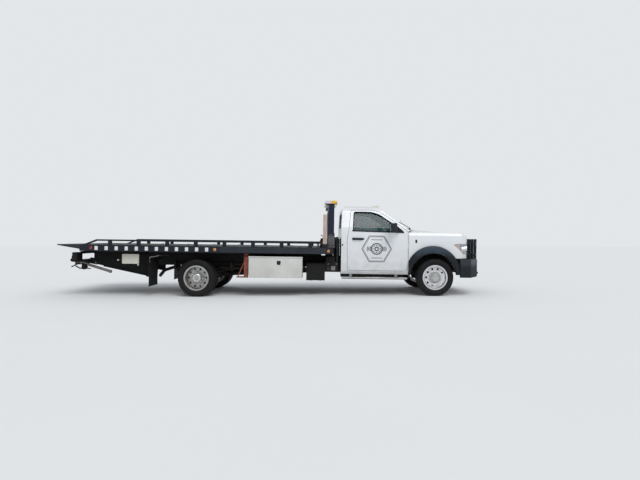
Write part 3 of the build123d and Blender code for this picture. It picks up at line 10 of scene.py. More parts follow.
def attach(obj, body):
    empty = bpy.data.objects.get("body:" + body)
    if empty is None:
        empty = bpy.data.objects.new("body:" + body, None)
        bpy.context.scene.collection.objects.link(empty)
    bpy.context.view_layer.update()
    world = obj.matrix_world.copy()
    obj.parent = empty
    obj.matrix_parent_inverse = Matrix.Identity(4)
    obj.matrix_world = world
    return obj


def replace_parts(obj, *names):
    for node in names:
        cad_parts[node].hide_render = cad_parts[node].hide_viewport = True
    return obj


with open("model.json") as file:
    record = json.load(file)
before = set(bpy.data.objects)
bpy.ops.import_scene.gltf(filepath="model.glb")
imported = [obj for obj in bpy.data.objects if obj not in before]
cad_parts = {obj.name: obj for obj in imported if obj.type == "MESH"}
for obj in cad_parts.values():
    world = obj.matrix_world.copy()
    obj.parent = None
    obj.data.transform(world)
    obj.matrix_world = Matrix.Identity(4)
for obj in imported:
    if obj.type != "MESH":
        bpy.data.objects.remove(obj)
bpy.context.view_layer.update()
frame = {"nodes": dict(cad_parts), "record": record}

# Looks of the tow truck. Sizes are millimetres in the part's level frame: x from the rear axle, z from the
# ground under it. What both sides have is drawn on the left, at plus y, and mirrored.

scene = bpy.context.scene

RAKE = radians(0.8)
SHIFT = -1660
SIDES = (("right", -1), ("left", 1))
BOTH = (-1, 1)


def stand(point):
    """The place in the scene, in metres, of a point of the level frame."""
    x, y, z = point
    return Vector((x * cos(RAKE) + z * sin(RAKE) + SHIFT, y, -x * sin(RAKE) + z * cos(RAKE))) / 1000


def in_scene(name, data):
    made = bpy.data.objects.new(name, data)
    scene.collection.objects.link(made)
    return made


# Camera at the photograph's place: level, side on, far to the truck's right

PHOTO_WIDTH = 640
FOCAL_PIXELS = 492
HORIZON_ABOVE_MIDDLE = 2
SENSOR = 36

camera_data = bpy.data.cameras.new("camera")
camera_data.sensor_width = SENSOR
camera_data.lens = SENSOR * FOCAL_PIXELS / PHOTO_WIDTH
camera = in_scene("camera", camera_data)
camera.location = (1.021, -11.8, 1.271)
camera.rotation_euler = (radians(90) - atan(HORIZON_ABOVE_MIDDLE / FOCAL_PIXELS), 0, 0)
scene.camera = camera


# Material nodes

LOOKS = {}
tree = None


def graph(name):
    """Open a new look's graph, which the node makers then add to, and give its shader."""
    global tree
    made = bpy.data.materials.new(name)
    made.use_nodes = True
    LOOKS[name] = made
    tree = made.node_tree
    return tree.nodes["Principled BSDF"]


def feed(node, inputs):
    """Link each input to a socket, or set it to a value."""
    for name, value in inputs.items():
        if isinstance(value, bpy.types.NodeSocket):
            tree.links.new(value, node.inputs[name])
        else:
            node.inputs[name].default_value = value
    return node


def add(kind, inputs, **settings):
    node = tree.nodes.new("ShaderNode" + kind)
    for name, value in settings.items():
        setattr(node, name, value)
    return feed(node, inputs)


def own_place():
    return add("TexCoord", {}).outputs["Object"]


def noise(scale, detail=4, stretch=(1, 1, 1)):
    """Noise over the piece's own metres; a stretch under 1 lengthens it along that axis."""
    mapping = add("Mapping", {"Vector": own_place(), "Scale": stretch})
    inputs = {"Vector": mapping.outputs["Vector"], "Scale": scale, "Detail": detail}
    return add("TexNoise", inputs).outputs["Fac"]


def ribs(axis, scale):
    """Soft parallel bands across an axis."""
    bands = add("TexWave", {"Vector": own_place(), "Scale": scale}, bands_direction=axis)
    return bands.outputs["Fac"]


def height_of(axis="Z"):
    """The piece's own coordinate along an axis, in metres."""
    return add("SeparateXYZ", {0: own_place()}).outputs[axis]


def span(value, low, high, out_low=0.0, out_high=1.0):
    ends = {"From Min": low, "From Max": high, "To Min": out_low, "To Max": out_high}
    return add("MapRange", {"Value": value, **ends}).outputs["Result"]


def times(first, second):
    return add("Math", {0: first, 1: second}, operation="MULTIPLY").outputs[0]


def mix(share, first, second):
    """Blends two colours; each is a colour or a socket."""
    first, second = ((*value, 1) if isinstance(value, tuple) else value for value in (first, second))
    inputs = {"Factor": share, "A": first, "B": second}
    return add("Mix", inputs, data_type="RGBA").outputs["Result"]


def bump(shader, height, strength, distance):
    node = add("Bump", {"Height": height, "Strength": strength, "Distance": distance})
    feed(shader, {"Normal": node.outputs["Normal"]})


def shade(colour, by):
    return tuple(by * value for value in colour)


ROAD_DUST = (0.13, 0.12, 0.107)


def finish(
    name, colour, second, roughness, mottle, grain=(400, 0.1, 0.0004), dust=None, metallic=0, coat=0,
    stretch=(1, 1, 1), specular=0.5,
):
    """A surface whose two colours mix in clouds of the mottle's scale, with fine grain and road dust.

    Grain is a bump's scale, strength and depth. Dust is its greatest share, the heights that it thins out
    between and, if it isn't the usual one, its colour.
    """
    shader = graph(name)
    body = mix(span(noise(mottle, stretch=stretch), 0.35, 0.65), colour, second)
    shine = noise(mottle * 2.3, stretch=stretch)
    if dust:
        most, full, gone, *tone = dust
        low = span(height_of(), full, gone, 1.0, 0.0)
        cloud = span(noise(7, 8), 0.3, 0.75, 0.25, 1.0)
        body = mix(times(times(low, cloud), most), body, tone[0] if tone else ROAD_DUST)
    feed(shader, {
        "Base Color": body, "Roughness": span(shine, 0.3, 0.7, roughness - 0.06, roughness + 0.06),
        "Metallic": metallic, "Specular IOR Level": specular,
    })
    if coat:
        feed(shader, {"Coat Weight": coat, "Coat Roughness": 0.06})
    scale, strength, distance = grain
    bump(shader, noise(scale, 2, stretch), strength, distance)


finish(
    "white_paint", (0.72, 0.745, 0.785), (0.76, 0.775, 0.8), 0.34, 1.5, (220, 0.04, 0.0006),
    dust=(0.55, 0.45, 1.25, (0.36, 0.345, 0.31)), coat=0.8,
)
finish(
    "bed_paint", (0.007, 0.01, 0.016), (0.011, 0.014, 0.022), 0.46, 4, (260, 0.12, 0.0006),
    dust=(0.07, 0.4, 1.5), specular=0.25,
)
finish(
    "deck_paint", (0.016, 0.017, 0.02), (0.04, 0.041, 0.044), 0.52, 2.4, (90, 0.25, 0.0012),
    dust=(0.22, 0.8, 1.6), stretch=(0.35, 1, 1), specular=0.3,
)
finish(
    "frame_paint", (0.006, 0.006, 0.007), (0.011, 0.011, 0.011), 0.62, 5, (180, 0.2, 0.001),
    dust=(0.08, 0.1, 0.95), specular=0.2,
)
finish("red_oxide", (0.16, 0.03, 0.02), (0.3, 0.075, 0.04), 0.8, 14, (160, 0.5, 0.0015), dust=(0.4, 0.2, 0.9))
finish(
    "box_metal", (0.6, 0.6, 0.575), (0.7, 0.7, 0.68), 0.46, 2.2, (120, 0.15, 0.0008),
    dust=(0.45, 0.35, 0.95, (0.4, 0.375, 0.33)), metallic=0.35,
)
finish(
    "polished", (0.8, 0.8, 0.82), (0.72, 0.72, 0.745), 0.2, 9, (60, 0.05, 0.0005),
    dust=(0.35, 0.1, 0.7, (0.4, 0.38, 0.35)), metallic=1.0,
)
finish(
    "bright_steel", (0.5, 0.5, 0.51), (0.6, 0.6, 0.6), 0.28, 8, (300, 0.08, 0.0004),
    metallic=1.0, stretch=(0.2, 1, 1),
)
finish(
    "pipe_steel", (0.022, 0.018, 0.016), (0.05, 0.042, 0.036), 0.6, 7, (120, 0.3, 0.001),
    dust=(0.15, 0.3, 1.1), metallic=0.3, specular=0.25,
)
finish(
    "cast", (0.012, 0.012, 0.012), (0.03, 0.025, 0.021), 0.78, 9, (140, 0.6, 0.0018),
    dust=(0.15, 0.1, 0.8), specular=0.25,
)
finish(
    "tyre_rubber", (0.006, 0.006, 0.007), (0.01, 0.01, 0.011), 0.68, 12, (240, 0.3, 0.0008),
    dust=(0.12, 0.0, 0.8, (0.07, 0.065, 0.06)), specular=0.2,
)
finish(
    "rubber", (0.006, 0.006, 0.006), (0.01, 0.01, 0.01), 0.7, 6, (200, 0.35, 0.001),
    dust=(0.1, 0.1, 0.9), specular=0.2,
)
finish(
    "black_plastic", (0.01, 0.013, 0.018), (0.015, 0.018, 0.024), 0.5, 5, (700, 0.45, 0.0006),
    dust=(0.08, 0.4, 1.2), specular=0.3,
)
finish(
    "channel_paint", (0.014, 0.019, 0.027), (0.021, 0.027, 0.036), 0.46, 4, (260, 0.12, 0.0006),
    dust=(0.08, 0.6, 1.3), specular=0.3,
)
finish("gloss_black", (0.006, 0.006, 0.007), (0.01, 0.01, 0.011), 0.16, 5, (300, 0.03, 0.0003))
finish(
    "grey_steel", (0.17, 0.165, 0.16), (0.26, 0.25, 0.235), 0.55, 18, (150, 0.3, 0.001),
    dust=(0.4, 0.2, 1.4), metallic=0.3,
)
finish(
    "step_metal", (0.3, 0.31, 0.32), (0.42, 0.43, 0.44), 0.42, 8, (90, 0.2, 0.0008),
    dust=(0.7, 0.2, 0.9, (0.16, 0.15, 0.135)), metallic=0.6,
)
finish(
    "wheel_steel", (0.4, 0.395, 0.38), (0.52, 0.515, 0.5), 0.36, 11, (80, 0.12, 0.0006),
    dust=(0.5, 0.1, 0.75, (0.2, 0.19, 0.17)), metallic=0.75,
)
finish("timber", (0.4, 0.3, 0.26), (0.54, 0.44, 0.39), 0.75, 24, (90, 0.5, 0.0012), stretch=(3, 3, 0.25))
finish("carpet", (0.05, 0.05, 0.053), (0.085, 0.085, 0.088), 0.94, 20, (420, 0.8, 0.002), specular=0.1)
finish("plate_metal", (0.6, 0.585, 0.5), (0.68, 0.665, 0.59), 0.5, 9, dust=(0.35, 0.3, 1.1))
finish("reflector_white", (0.66, 0.67, 0.69), (0.74, 0.75, 0.77), 0.4, 30, (900, 0.5, 0.0006))
finish("emblem_ink", (0.018, 0.02, 0.024), (0.03, 0.032, 0.038), 0.5, 9, specular=0.3)
for name, colour, second, roughness in (
    ("lamp_red", (0.22, 0.006, 0.006), (0.3, 0.012, 0.01), 0.22),
    ("lamp_amber", (0.42, 0.17, 0.05), (0.52, 0.24, 0.08), 0.22),
    ("lamp_turn", (0.6, 0.22, 0.07), (0.7, 0.3, 0.11), 0.22),
    ("lamp_pale", (0.76, 0.7, 0.6), (0.82, 0.76, 0.66), 0.2),
    ("lamp_white", (0.7, 0.7, 0.72), (0.8, 0.8, 0.82), 0.2),
):
    finish(name, colour, second, roughness, 6, (500, 0.6, 0.0012), coat=0.6)


def woven_cloth():
    """Grey seat cloth: two crossed sets of fine bands over a soft mottle."""
    shader = graph("seat_cloth")
    threads = times(ribs("X", 90), ribs("Y", 90))
    tone = mix(noise(5), (0.1, 0.105, 0.11), (0.16, 0.165, 0.17))
    tone = mix(threads, tone, (0.24, 0.245, 0.25))
    feed(shader, {"Base Color": tone, "Roughness": 0.95, "Sheen Weight": 0.4})
    bump(shader, threads, 0.5, 0.0015)


def tinted_glass(name, tint, alpha):
    """Thin glass: a tint that lets most of what is behind through, with a clear reflection."""
    shader = graph(name)
    smear = span(noise(3), 0.35, 0.7, 0.9, 1.0)
    feed(shader, {
        "Base Color": mix(smear, shade(tint, 0.9), tint), "Roughness": 0.02, "Alpha": alpha,
        "Specular IOR Level": 0.6,
    })


def light_bar_lens():
    """Clear rear half and amber front half over a black base, split by the bar's own coordinates."""
    shader = graph("light_bar_lens")
    split, base = stand((2905, 0, 2110)).x, stand((2905, 0, 2090)).z
    forward = span(height_of("X"), split - 0.002, split + 0.002)
    upward = span(height_of(), base - 0.001, base + 0.001)
    bands = ribs("Y", 12)
    clear = mix(bands, (0.62, 0.58, 0.72), (0.8, 0.8, 0.86))
    amber = mix(bands, (0.8, 0.42, 0.02), (0.9, 0.62, 0.06))
    tone = mix(upward, (0.01, 0.01, 0.012), mix(forward, clear, amber))
    feed(shader, {"Base Color": tone, "Roughness": 0.18, "Coat Weight": 0.5})
    bump(shader, bands, 0.4, 0.002)


def toned_by_height(name, low, high, at_height, blend, roughness, coat=0.0):
    """A surface whose colour turns at a height, rougher below; a lighter top is a painted highlight."""
    shader = graph(name)
    inputs = {0: noise(9, 6), 1: blend, 2: height_of()}
    lift = add("Math", inputs, operation="MULTIPLY_ADD").outputs[0]
    share = span(lift, at_height, at_height + blend)
    cloud = span(noise(14, 8), 0.3, 0.7)
    lower = mix(cloud, low, shade(low, 0.6))
    upper = mix(cloud, high, shade(high, 1.25))
    feed(shader, {
        "Base Color": mix(share, lower, upper), "Coat Weight": coat, "Specular IOR Level": 0.3,
        "Roughness": span(share, 0, 1, roughness + 0.3, roughness),
    })
    bump(shader, noise(240, 2), 0.15, 0.0006)


toned_by_height("rack_paint", (0.12, 0.12, 0.125), (0.006, 0.01, 0.03), 1.34, 0.05, 0.34, coat=0.2)
# The flares' lighter upper colour is a painted highlight where light falls on their tops.
toned_by_height("flare_plastic", (0.01, 0.012, 0.016), (0.03, 0.046, 0.068), 0.93, 0.16, 0.42)
# The bumper's lighter upper colour is a painted highlight where light falls on its top.
toned_by_height("bumper_paint", (0.01, 0.014, 0.018), (0.02, 0.027, 0.034), 0.66, 0.1, 0.4)
woven_cloth()
tinted_glass("window_glass", (0.012, 0.06, 0.07), 0.48)
tinted_glass("lens_glass", (0.74, 0.76, 0.82), 0.38)
light_bar_lens()

# The look of a CAD node or of a whole slot, where it hasn't its slot's name
NODE_LOOKS = {
    "bed_deck": "deck_paint", "exhaust": "pipe_steel", "headlamps": "lens_glass", "headache_rack": "rack_paint",
    "flares": "flare_plastic", "front_bumper": "bumper_paint", "side_steps": "step_metal",
    "rim_rear_right": "wheel_steel", "rim_rear_left": "wheel_steel",
    "tyre": "tyre_rubber", "lamp_clear": "light_bar_lens",
}

slot_of = {entry["node"]: entry["material_slot"] for entry in frame["record"]["subparts"]}
for name, node in frame["nodes"].items():
    slot = slot_of[name]
    look = NODE_LOOKS.get(name) or NODE_LOOKS.get(slot, slot)
    node.data.materials.clear()
    node.data.materials.append(LOOKS[look])
    node.data.set_sharp_from_angle(angle=radians(28))


# Mesh makers: each adds a form to the draft, and piece() makes an object of it and opens the next draft

draft = bmesh.new()


def ring(points):
    return [draft.verts.new(point) for point in points]


def skin(rings, ends=True):
    """Faces between rings of points that follow each other, and over both ends."""
    if ends:
        draft.faces.new(rings[0])
        draft.faces.new(rings[-1])
    for first, second in zip(rings, rings[1:]):
        for face in zip(first, first[1:] + first[:1], second[1:] + second[:1], second):
            draft.faces.new(face)


def block(x, y, z, bevel=0.0):
    """A block between two x, two y and two z values."""
    corners = bmesh.ops.create_cube(draft, size=1)["verts"]
    middle = Vector([sum(ends) / 2 for ends in (x, y, z)])
    size = [ends[1] - ends[0] for ends in (x, y, z)]
    for corner in corners:
        corner.co = Vector(a * b for a, b in zip(corner.co, size))
    if bevel:
        edges = list({edge for corner in corners for edge in corner.link_edges})
        made = bmesh.ops.bevel(draft, geom=edges, offset=bevel, segments=2, affect="EDGES", profile=0.7)
        corners = made["verts"]
    for corner in corners:
        corner.co += middle


def lathe(profile, centre, steps=32, axis="Y", out=1):
    """A round form about an axle along y or x: profile points are a radius and a distance outwards."""
    rings = []
    for radius, along in profile:
        turned = circle(0, 0, radius, steps)
        places = [(a, out * along, b) if axis == "Y" else (out * along, a, b) for a, b in turned]
        rings.append(ring(Vector(centre) + Vector(place) for place in places))
    skin(rings)


def tube(path, radius, sides=10):
    """A round bar along a line of points, closed at both ends."""
    points = [Vector(point) for point in path]
    rings = []
    for index, point in enumerate(points):
        along = (points[min(index + 1, len(points) - 1)] - points[max(index - 1, 0)]).normalized()
        across = along.cross(Vector((0, 1, 0)) if abs(along.y) < 0.9 else Vector((1, 0, 0))).normalized()
        other = along.cross(across)
        rings.append(ring(point + across * a + other * b for a, b in circle(0, 0, radius, sides)))
    skin(rings)


def slab(outline, y_in, y_out):
    """A side outline carried across between two y values."""
    skin([ring((x, y, z) for x, z in outline) for y in (y_in, y_out)])


def plate(outline, place, thickness):
    """A flat shape: outline points are put in space by place(a, b, height)."""
    skin([ring(place(a, b, height) for a, b in outline) for height in (0, thickness)])


def strap(points, width, thickness):
    """A flat band along points, its width along x."""
    rings = []
    for index, point in enumerate(points):
        ahead = Vector(points[min(index + 1, len(points) - 1)]) - Vector(points[max(index - 1, 0)])
        normal = Vector((1, 0, 0)).cross(ahead).normalized() * thickness / 2
        edges = oblong(about(0, width / 2), BOTH)
        rings.append(ring(Vector(point) + Vector((a, 0, 0)) + normal * b for a, b in edges))
    skin(rings)


def bolts(places, out=1, axis="Y", size=9):
    """Hexagon heads on washers."""
    for place in places:
        lathe(((size * 1.5, -1), (size * 1.5, 2), (size * 1.4, 3)), place, 12, axis, out)
        lathe(((size, 2), (size, 8), (size * 0.8, 10)), place, 6, axis, out)


def mirror():
    """Add the draft's mirror image across the truck's middle."""
    forms = draft.verts[:] + draft.edges[:] + draft.faces[:]
    for form in bmesh.ops.duplicate(draft, geom=forms)["geom"]:
        if isinstance(form, bmesh.types.BMVert):
            form.co.y *= -1


def piece(name, look, body="chassis", angle=32, placed=False):
    """Close the draft, stand it with the truck unless it is placed already, and let it ride on a body."""
    global draft
    bmesh.ops.recalc_face_normals(draft, faces=draft.faces)
    if not placed:
        for vertex in draft.verts:
            vertex.co = stand(vertex.co)
    data = bpy.data.meshes.new(name)
    draft.to_mesh(data)
    draft.free()
    draft = bmesh.new()
    data.polygons.foreach_set("use_smooth", [True] * len(data.polygons))
    data.set_sharp_from_angle(angle=radians(angle))
    data.materials.append(LOOKS[look])
    made = in_scene(name, data)
    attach(made, body)
    return made


def twins(name, look, body="chassis"):
    """The draft as the left side's piece and its mirror image as the right's; body_ is a body of each side."""
    global draft
    drawn = draft
    for side_name, side in SIDES:
        draft = drawn.copy()
        for vertex in draft.verts:
            vertex.co.y *= side
        piece(f"{name}_{side_name}", look, body + side_name if body.endswith("_") else body)
    drawn.free()


# Lines and outlines, as lists of two coordinates

def circle(x, z, radius, count, start=0.0):
    """Points round a middle; the first is turned by start steps."""
    turns = [2 * pi * (index + start) / count for index in range(count)]
    return [(x + radius * cos(turn), z + radius * sin(turn)) for turn in turns]


def rounded(rows, steps=5):
    """Points of a closed line whose rows may carry a corner radius."""
    made = []
    for index, row in enumerate(rows):
        corner = Vector(row[:2])
        if len(row) < 3:
            made.append(tuple(corner))
            continue
        before = (Vector(rows[index - 1][:2]) - corner).normalized()
        after = (Vector(rows[(index + 1) % len(rows)][:2]) - corner).normalized()
        reach = row[2] / tan(before.angle(after) / 2)
        for step in range(steps + 1):
            share = step / steps
            first = (corner + before * reach).lerp(corner, share)
            made.append(tuple(first.lerp(corner.lerp(corner + after * reach, share), share)))
    return made


def oblong(a, b, radius=None, steps=4):
    """The four corners of a rectangle, or its rounded outline."""
    corners = ((a[0], b[0]), (a[1], b[0]), (a[1], b[1]), (a[0], b[1]))
    return rounded([(*corner, radius) for corner in corners], steps) if radius else list(corners)


def fine(points, gap=40):
    """The same closed line with more points on its runs."""
    made = []
    for (x, z), (x_next, z_next) in zip(points, points[1:] + points[:1]):
        parts = max(1, round(hypot(x_next - x, z_next - z) / gap))
        made += [(x + (x_next - x) * i / parts, z + (z_next - z) * i / parts) for i in range(parts)]
    return made


def about(middle, half):
    """The ends of a range about its middle."""
    return middle - half, middle + half


def runs(start, end, count):
    """Points evenly along a line."""
    return [tuple(a + (b - a) * i / count for a, b in zip(start, end)) for i in range(count + 1)]


# Tyres with tread blocks, ribbed walls and bead steps

WHEELBASE = 5194
TYRE_RADIUS = 405
REAR_Z = TYRE_RADIUS / cos(RAKE)
FRONT_Z = (TYRE_RADIUS + WHEELBASE * sin(RAKE)) / cos(RAKE)
FRONT_WHEEL_Y = 948
DUAL_Y = 951
DUAL_SPACING = 266
TREAD_PITCHES = 60
STEPS_A_PITCH = 4
GROOVE = 9
NUT = 13
WALL = (
    (252, -83), (272, -83), (281, -97), (286, -99), (291, -103), (298, -107), (301, -110), (304, -110),
    (307, -109), (320, -113), (340, -113), (352, -111), (355, -109), (358, -110), (372, -106), (388, -98),
    (397, -92), (402, -82),
)
HALF_CROWN = (-72, -58, -46.5, -46, -44, -42, -41.5, -24.5, -24, -22, -20, -19.5)
CROWN = (*HALF_CROWN, 0, *(-across for across in reversed(HALF_CROWN)))


def tread_depth(across, step):
    """How far the tread lies under its crown: grooves round the tyre and slots across its blocks."""
    pitch, part = divmod(step, STEPS_A_PITCH)
    if abs(across) in (44, 22):
        return GROOVE
    if abs(across) >= 46:
        return GROOVE if part == 0 else 0
    if abs(across) >= 24:
        return GROOVE * 0.7 if (part == 2) == (across > 0) and part in (0, 2) else 0
    return GROOVE * 0.5 if part == 1 and pitch % 2 else 0


def wall_depth(radius, step):
    """Lugs at the shoulder and fine ribs on the wall."""
    if radius > 385:
        return 5 if step % STEPS_A_PITCH == 0 else 0
    return 1.2 if 335 < radius < 350 and step % 2 else 0


def tyre(x, y, z):
    steps = TREAD_PITCHES * STEPS_A_PITCH
    rows = [(radius, across, wall_depth, radius) for radius, across in WALL]
    rows += [(TYRE_RADIUS, across, tread_depth, across) for across in CROWN]
    rows += [(radius, -across, wall_depth, radius) for radius, across in reversed(WALL)]
    rings = []
    for radius, across, depth, place in rows:
        points = []
        for step, (a, b) in enumerate(circle(0, 0, 1, steps)):
            reach = radius - depth(place, step)
            points.append((x + reach * a, y + across, z + reach * b))
        rings.append(ring(points))
    skin(rings + rings[:1], ends=False)


def nuts(x, y, z, around):
    """Ten wheel nuts on a circle, each with its washer and pointed cap."""
    for a, b in circle(x, z, around, 10, 0.5):
        lathe(((NUT * 1.35, -2), (NUT * 1.35, 4), (NUT * 1.1, 6)), (a, y, b), 12)
        lathe(((NUT, 4), (NUT, 22), (NUT * 0.8, 26), (NUT * 0.5, 40), (NUT * 0.2, 44)), (a, y, b), 6)


for name, side in SIDES:
    tyre(WHEELBASE, side * FRONT_WHEEL_Y, FRONT_Z)
    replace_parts(piece(f"tread_front_{name}", "tyre_rubber", f"wheel_front_{name}"), f"tyre_front_{name}")
    for half in (-0.5, 0.5):
        tyre(0, side * (DUAL_Y + half * DUAL_SPACING), REAR_Z)
    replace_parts(piece(f"tread_rear_{name}", "tyre_rubber", f"wheels_rear_{name}"), f"tyre_rear_{name}")

face = FRONT_WHEEL_Y + 58
hub = (WHEELBASE, face, FRONT_Z)
nuts(*hub, 114)
lathe(((78, 26), (80, 32), (74, 40), (56, 44), (54, 52), (30, 56), (0.5, 57)), hub)
tube(((WHEELBASE + 160, face, FRONT_Z - 180), (WHEELBASE + 150, face + 22, FRONT_Z - 170)), 4)
twins("nuts_front", "bright_steel", "wheel_front_")

lathe(((135, -2), (135, 2), (129, 5), (84, 5), (82, -1)), hub)
twins("hub_plate", "wheel_steel", "wheel_front_")

face = DUAL_Y + DUAL_SPACING / 2 - 55
cap_face = DUAL_Y + 196
nuts(0, face, REAR_Z, 108)
tube(((160, face, REAR_Z - 180), (176, face + 60, REAR_Z - 196)), 4)
lathe(((84, -8), (84, -3), (76, 2), (4, 3)), (0, cap_face, REAR_Z))
for x, z in circle(0, REAR_Z, 64, 8):
    lathe(((7, -4), (7, 6), (4, 8)), (x, cap_face, z), 6)
twins("nuts_rear", "polished", "wheels_rear_")


# Cab fittings

CAB_SECTION = (
    (960, 530), (990, 600), (1003, 780), (1003, 1250), (985, 1480), (845, 1925), (760, 1995), (560, 2035),
)
WINDOW = rounded((
    (3390, 1480, 30), (3411, 1880, 20), (3440, 1898, 20), (3798, 1896, 300), (3979, 1840, 400),
    (4183, 1700, 1500), (4361, 1585, 600), (4515, 1455, 20),
))
EMBLEM = EMBLEM_X, EMBLEM_Z = 3910, 1086
INK_PROUD = 1.2


def on_cab(x, z, proud):
    """A point on the cab's side at a height, standing proud of the skin."""
    for (first, low), (second, high) in zip(CAB_SECTION, CAB_SECTION[1:]):
        if low <= z <= high:
            return (x, first + (second - first) * (z - low) / (high - low) + proud, z)
    return (x, CAB_SECTION[-1][0] + proud, z)


def ribbon(points, width, closed=False):
    """A flat painted line on the cab's side through points of x and z."""
    count = len(points)
    rails = []
    for index, (x, z) in enumerate(points):
        before = points[(index - 1) % count if closed else max(index - 1, 0)]
        after = points[(index + 1) % count if closed else min(index + 1, count - 1)]
        run = Vector((after[0] - before[0], after[1] - before[1])).normalized() * width / 2
        rails.append(ring(on_cab(x - share * run.y, z + share * run.x, INK_PROUD) for share in BOTH))
    for first, second in zip(rails, rails[1:] + rails[:1] if closed else rails[1:]):
        draft.faces.new((first[0], first[1], second[1], second[0]))


# A wheel between chevrons in a six-sided frame
for radius, width in ((326, 14), (300, 7)):
    ribbon(fine(circle(*EMBLEM, radius, 6)), width, closed=True)
for radius, width in ((118, 22), (88, 7), (34, 18)):
    ribbon(circle(*EMBLEM, radius, 48), width, closed=True)
for spoke in zip(circle(*EMBLEM, 40, 8), circle(*EMBLEM, 90, 8)):
    ribbon(spoke, 12)
for lean in BOTH:
    for reach in (150, 182, 214):
        bends = ((reach - 22, -48), (reach, 0), (reach - 22, 48))
        ribbon([(EMBLEM_X + lean * out, EMBLEM_Z + rise) for out, rise in bends], 15)
    ribbon([(EMBLEM_X + reach, EMBLEM_Z + lean * 200) for reach in (-120, 120)], 12)
twins("emblem", "emblem_ink", "door_")

grip = ((3380, 2), (3392, 22), (3410, 30), (3580, 30), (3598, 22), (3610, 2))
tube([on_cab(x, 1300, proud) for x, proud in grip], 15, 12)
block((3375, 3620), (999, 1003), (1274, 1326), 2)
twins("handle", "black_plastic", "door_")

tube([on_cab(x, z, -1) for x, z in WINDOW + WINDOW[:2]], 9, 8)
tube([on_cab(x, 1478 - (x - 3390) * 0.0222, 1) for x in range(3370, 4540, 60)], 12, 8)
twins("window_seal", "rubber", "door_")

block((4166, 4171), (1140, 1310), (1480, 1630), 2)
twins("mirror_glass", "polished", "door_")

block((4755, 4800), (985, 1004), (1225, 1300), 8)
twins("aerial_base", "black_plastic")

for y in (-520, -260, 0, 260, 520):
    crown = 2046 - (y / 560) ** 2 * 14
    block((3890, 4010), about(y, 32), (crown, crown + 32), 12)
piece("roof_lamps", "lamp_pale")

for pivot, foot, tip in ((4723.2, -560, -60), (4738.2, 60, 620)):
    tube(((pivot, foot, 1555), (4700, foot + 60, 1580), (4560, foot + 260, 1680), (4520, tip, 1715)), 7, 6)
    tube([(4500 + 0.2 * (y - foot), y, 1722) for y in range(foot - 20, tip + 40, 80)], 5, 6)
piece("wipers", "rubber")

slab(((5610, 1195), (5700, 1210), (5745, 1130), (5735, 1010), (5690, 1050)), 915, 962)
mirror()
piece("turn_lamps", "lamp_turn")

for front, y, radius in ((5935, 760, 80), (5850, 905, 58)):
    bowl = ((6, -60), (radius * 0.6, -46), (radius * 0.9, -20), (radius, 0), (radius + 8, 0), (radius + 8, -66))
    lathe(bowl, (front, y, 1105), 28, "X")
block((5608, 5740), (900, 908), (1000, 1200), 2)
mirror()
piece("lamp_bowls", "polished")

block((5880, 5895), (-560, 560), (900, 1240), 3)
for z in range(912, 1236, 12):
    block((5895, 5901), (-552, 552), (z, z + 4))
piece("radiator", "frame_paint")


# Bed fittings

CHANNEL_Y = 1219
MARK_Z = 1026
MARKER = ((34, 0), (34, 5), (27, 9), (12, 12))

for x in range(-2148, 300, 216):
    block(about(x, 34), (CHANNEL_Y - 1, CHANNEL_Y + 3), about(MARK_Z, 42), 1)
mirror()
piece("reflective_strips", "reflector_white", "bed")

for x in (402, 2849):
    lathe(MARKER, (x, CHANNEL_Y - 1, MARK_Z), 20)
mirror()
piece("marker_lamps", "lamp_amber", "bed")

lathe(MARKER, (-2262, CHANNEL_Y - 1, MARK_Z), 20)
mirror()
piece("rear_marker_lamps", "lamp_red", "bed")

block((525, 2790), (CHANNEL_Y - 1, CHANNEL_Y + 2), (966, 1088), 1)
mirror()
piece("channel_covers", "channel_paint", "bed")

for x in range(-2400, 2800, 200):
    block(about(x, 8), (-1150, 1150), (1099, 1103), 1)
piece("deck_cleats", "deck_paint", "bed")


# Windscreen: a black printed edge, a seal, the cowl's vent and the wipers' pivots

SCREEN_FOOT = (4732, 1547)
SCREEN_SLOPE = radians(34.1)
SCREEN_ROUND = (1200 ** 2 + 140 ** 2) / (2 * 140)  # bows by 140 over a half width of 1200
SCREEN_MIDDLE = 389
GLASS_DEPTH = 30


def on_screen(across, up, proud):
    """A point over the windscreen: across the truck, up the slope, and out from the cab's skin."""
    height = proud - SCREEN_ROUND + sqrt(SCREEN_ROUND ** 2 - across ** 2)
    return Vector((
        SCREEN_FOOT[0] - up * cos(SCREEN_SLOPE) + height * sin(SCREEN_SLOPE),
        across,
        SCREEN_FOOT[1] + up * sin(SCREEN_SLOPE) + height * cos(SCREEN_SLOPE),
    ))


def screen_loop(half_width, half_length, corner):
    """A rounded rectangle on the windscreen, as across and up."""
    return fine(oblong(about(0, half_width), about(SCREEN_MIDDLE, half_length), corner, 6), 60)


rim = screen_loop(756, 306, 48)
shrunk = [(a * 690 / 756, SCREEN_MIDDLE + (b - SCREEN_MIDDLE) * 246 / 306) for a, b in rim]
skin([ring(on_screen(a, b, 1.5 - GLASS_DEPTH) for a, b in loop) for loop in (rim, shrunk)], ends=False)
piece("screen_edge", "gloss_black")

loop = [on_screen(a, b, -16) for a, b in screen_loop(752, 302, 46)]
tube(loop + loop[:2], 12, 8)
piece("screen_seal", "rubber")

for start in range(-700, 700, 100):
    plate(oblong((start + 2, start + 98), (-24, 62)), lambda a, b, height: on_screen(a, b, height - 1), 6)
    for low in range(-16, 56, 9):
        slot_line = oblong((start + 10, start + 90), (low, low + 4))
        plate(slot_line, lambda a, b, height: on_screen(a, b, height + 4), 5)
for foot in (-560, 60):
    lathe(((24, -6), (24, 10), (16, 22), (8, 24)), on_screen(foot, 20, 4), 16, "X")
piece("cowl_vent", "black_plastic")

tube([(6002 - (y / 350) ** 2 * 14, y, 1362 - (y / 350) ** 2 * 2) for y in range(-350, 351, 50)], 15)
for y in (-300, 0, 300):
    block((5950, 6004), about(y, 12), (1358, 1372), 3)
piece("nose_deflector", "gloss_black", "hood")

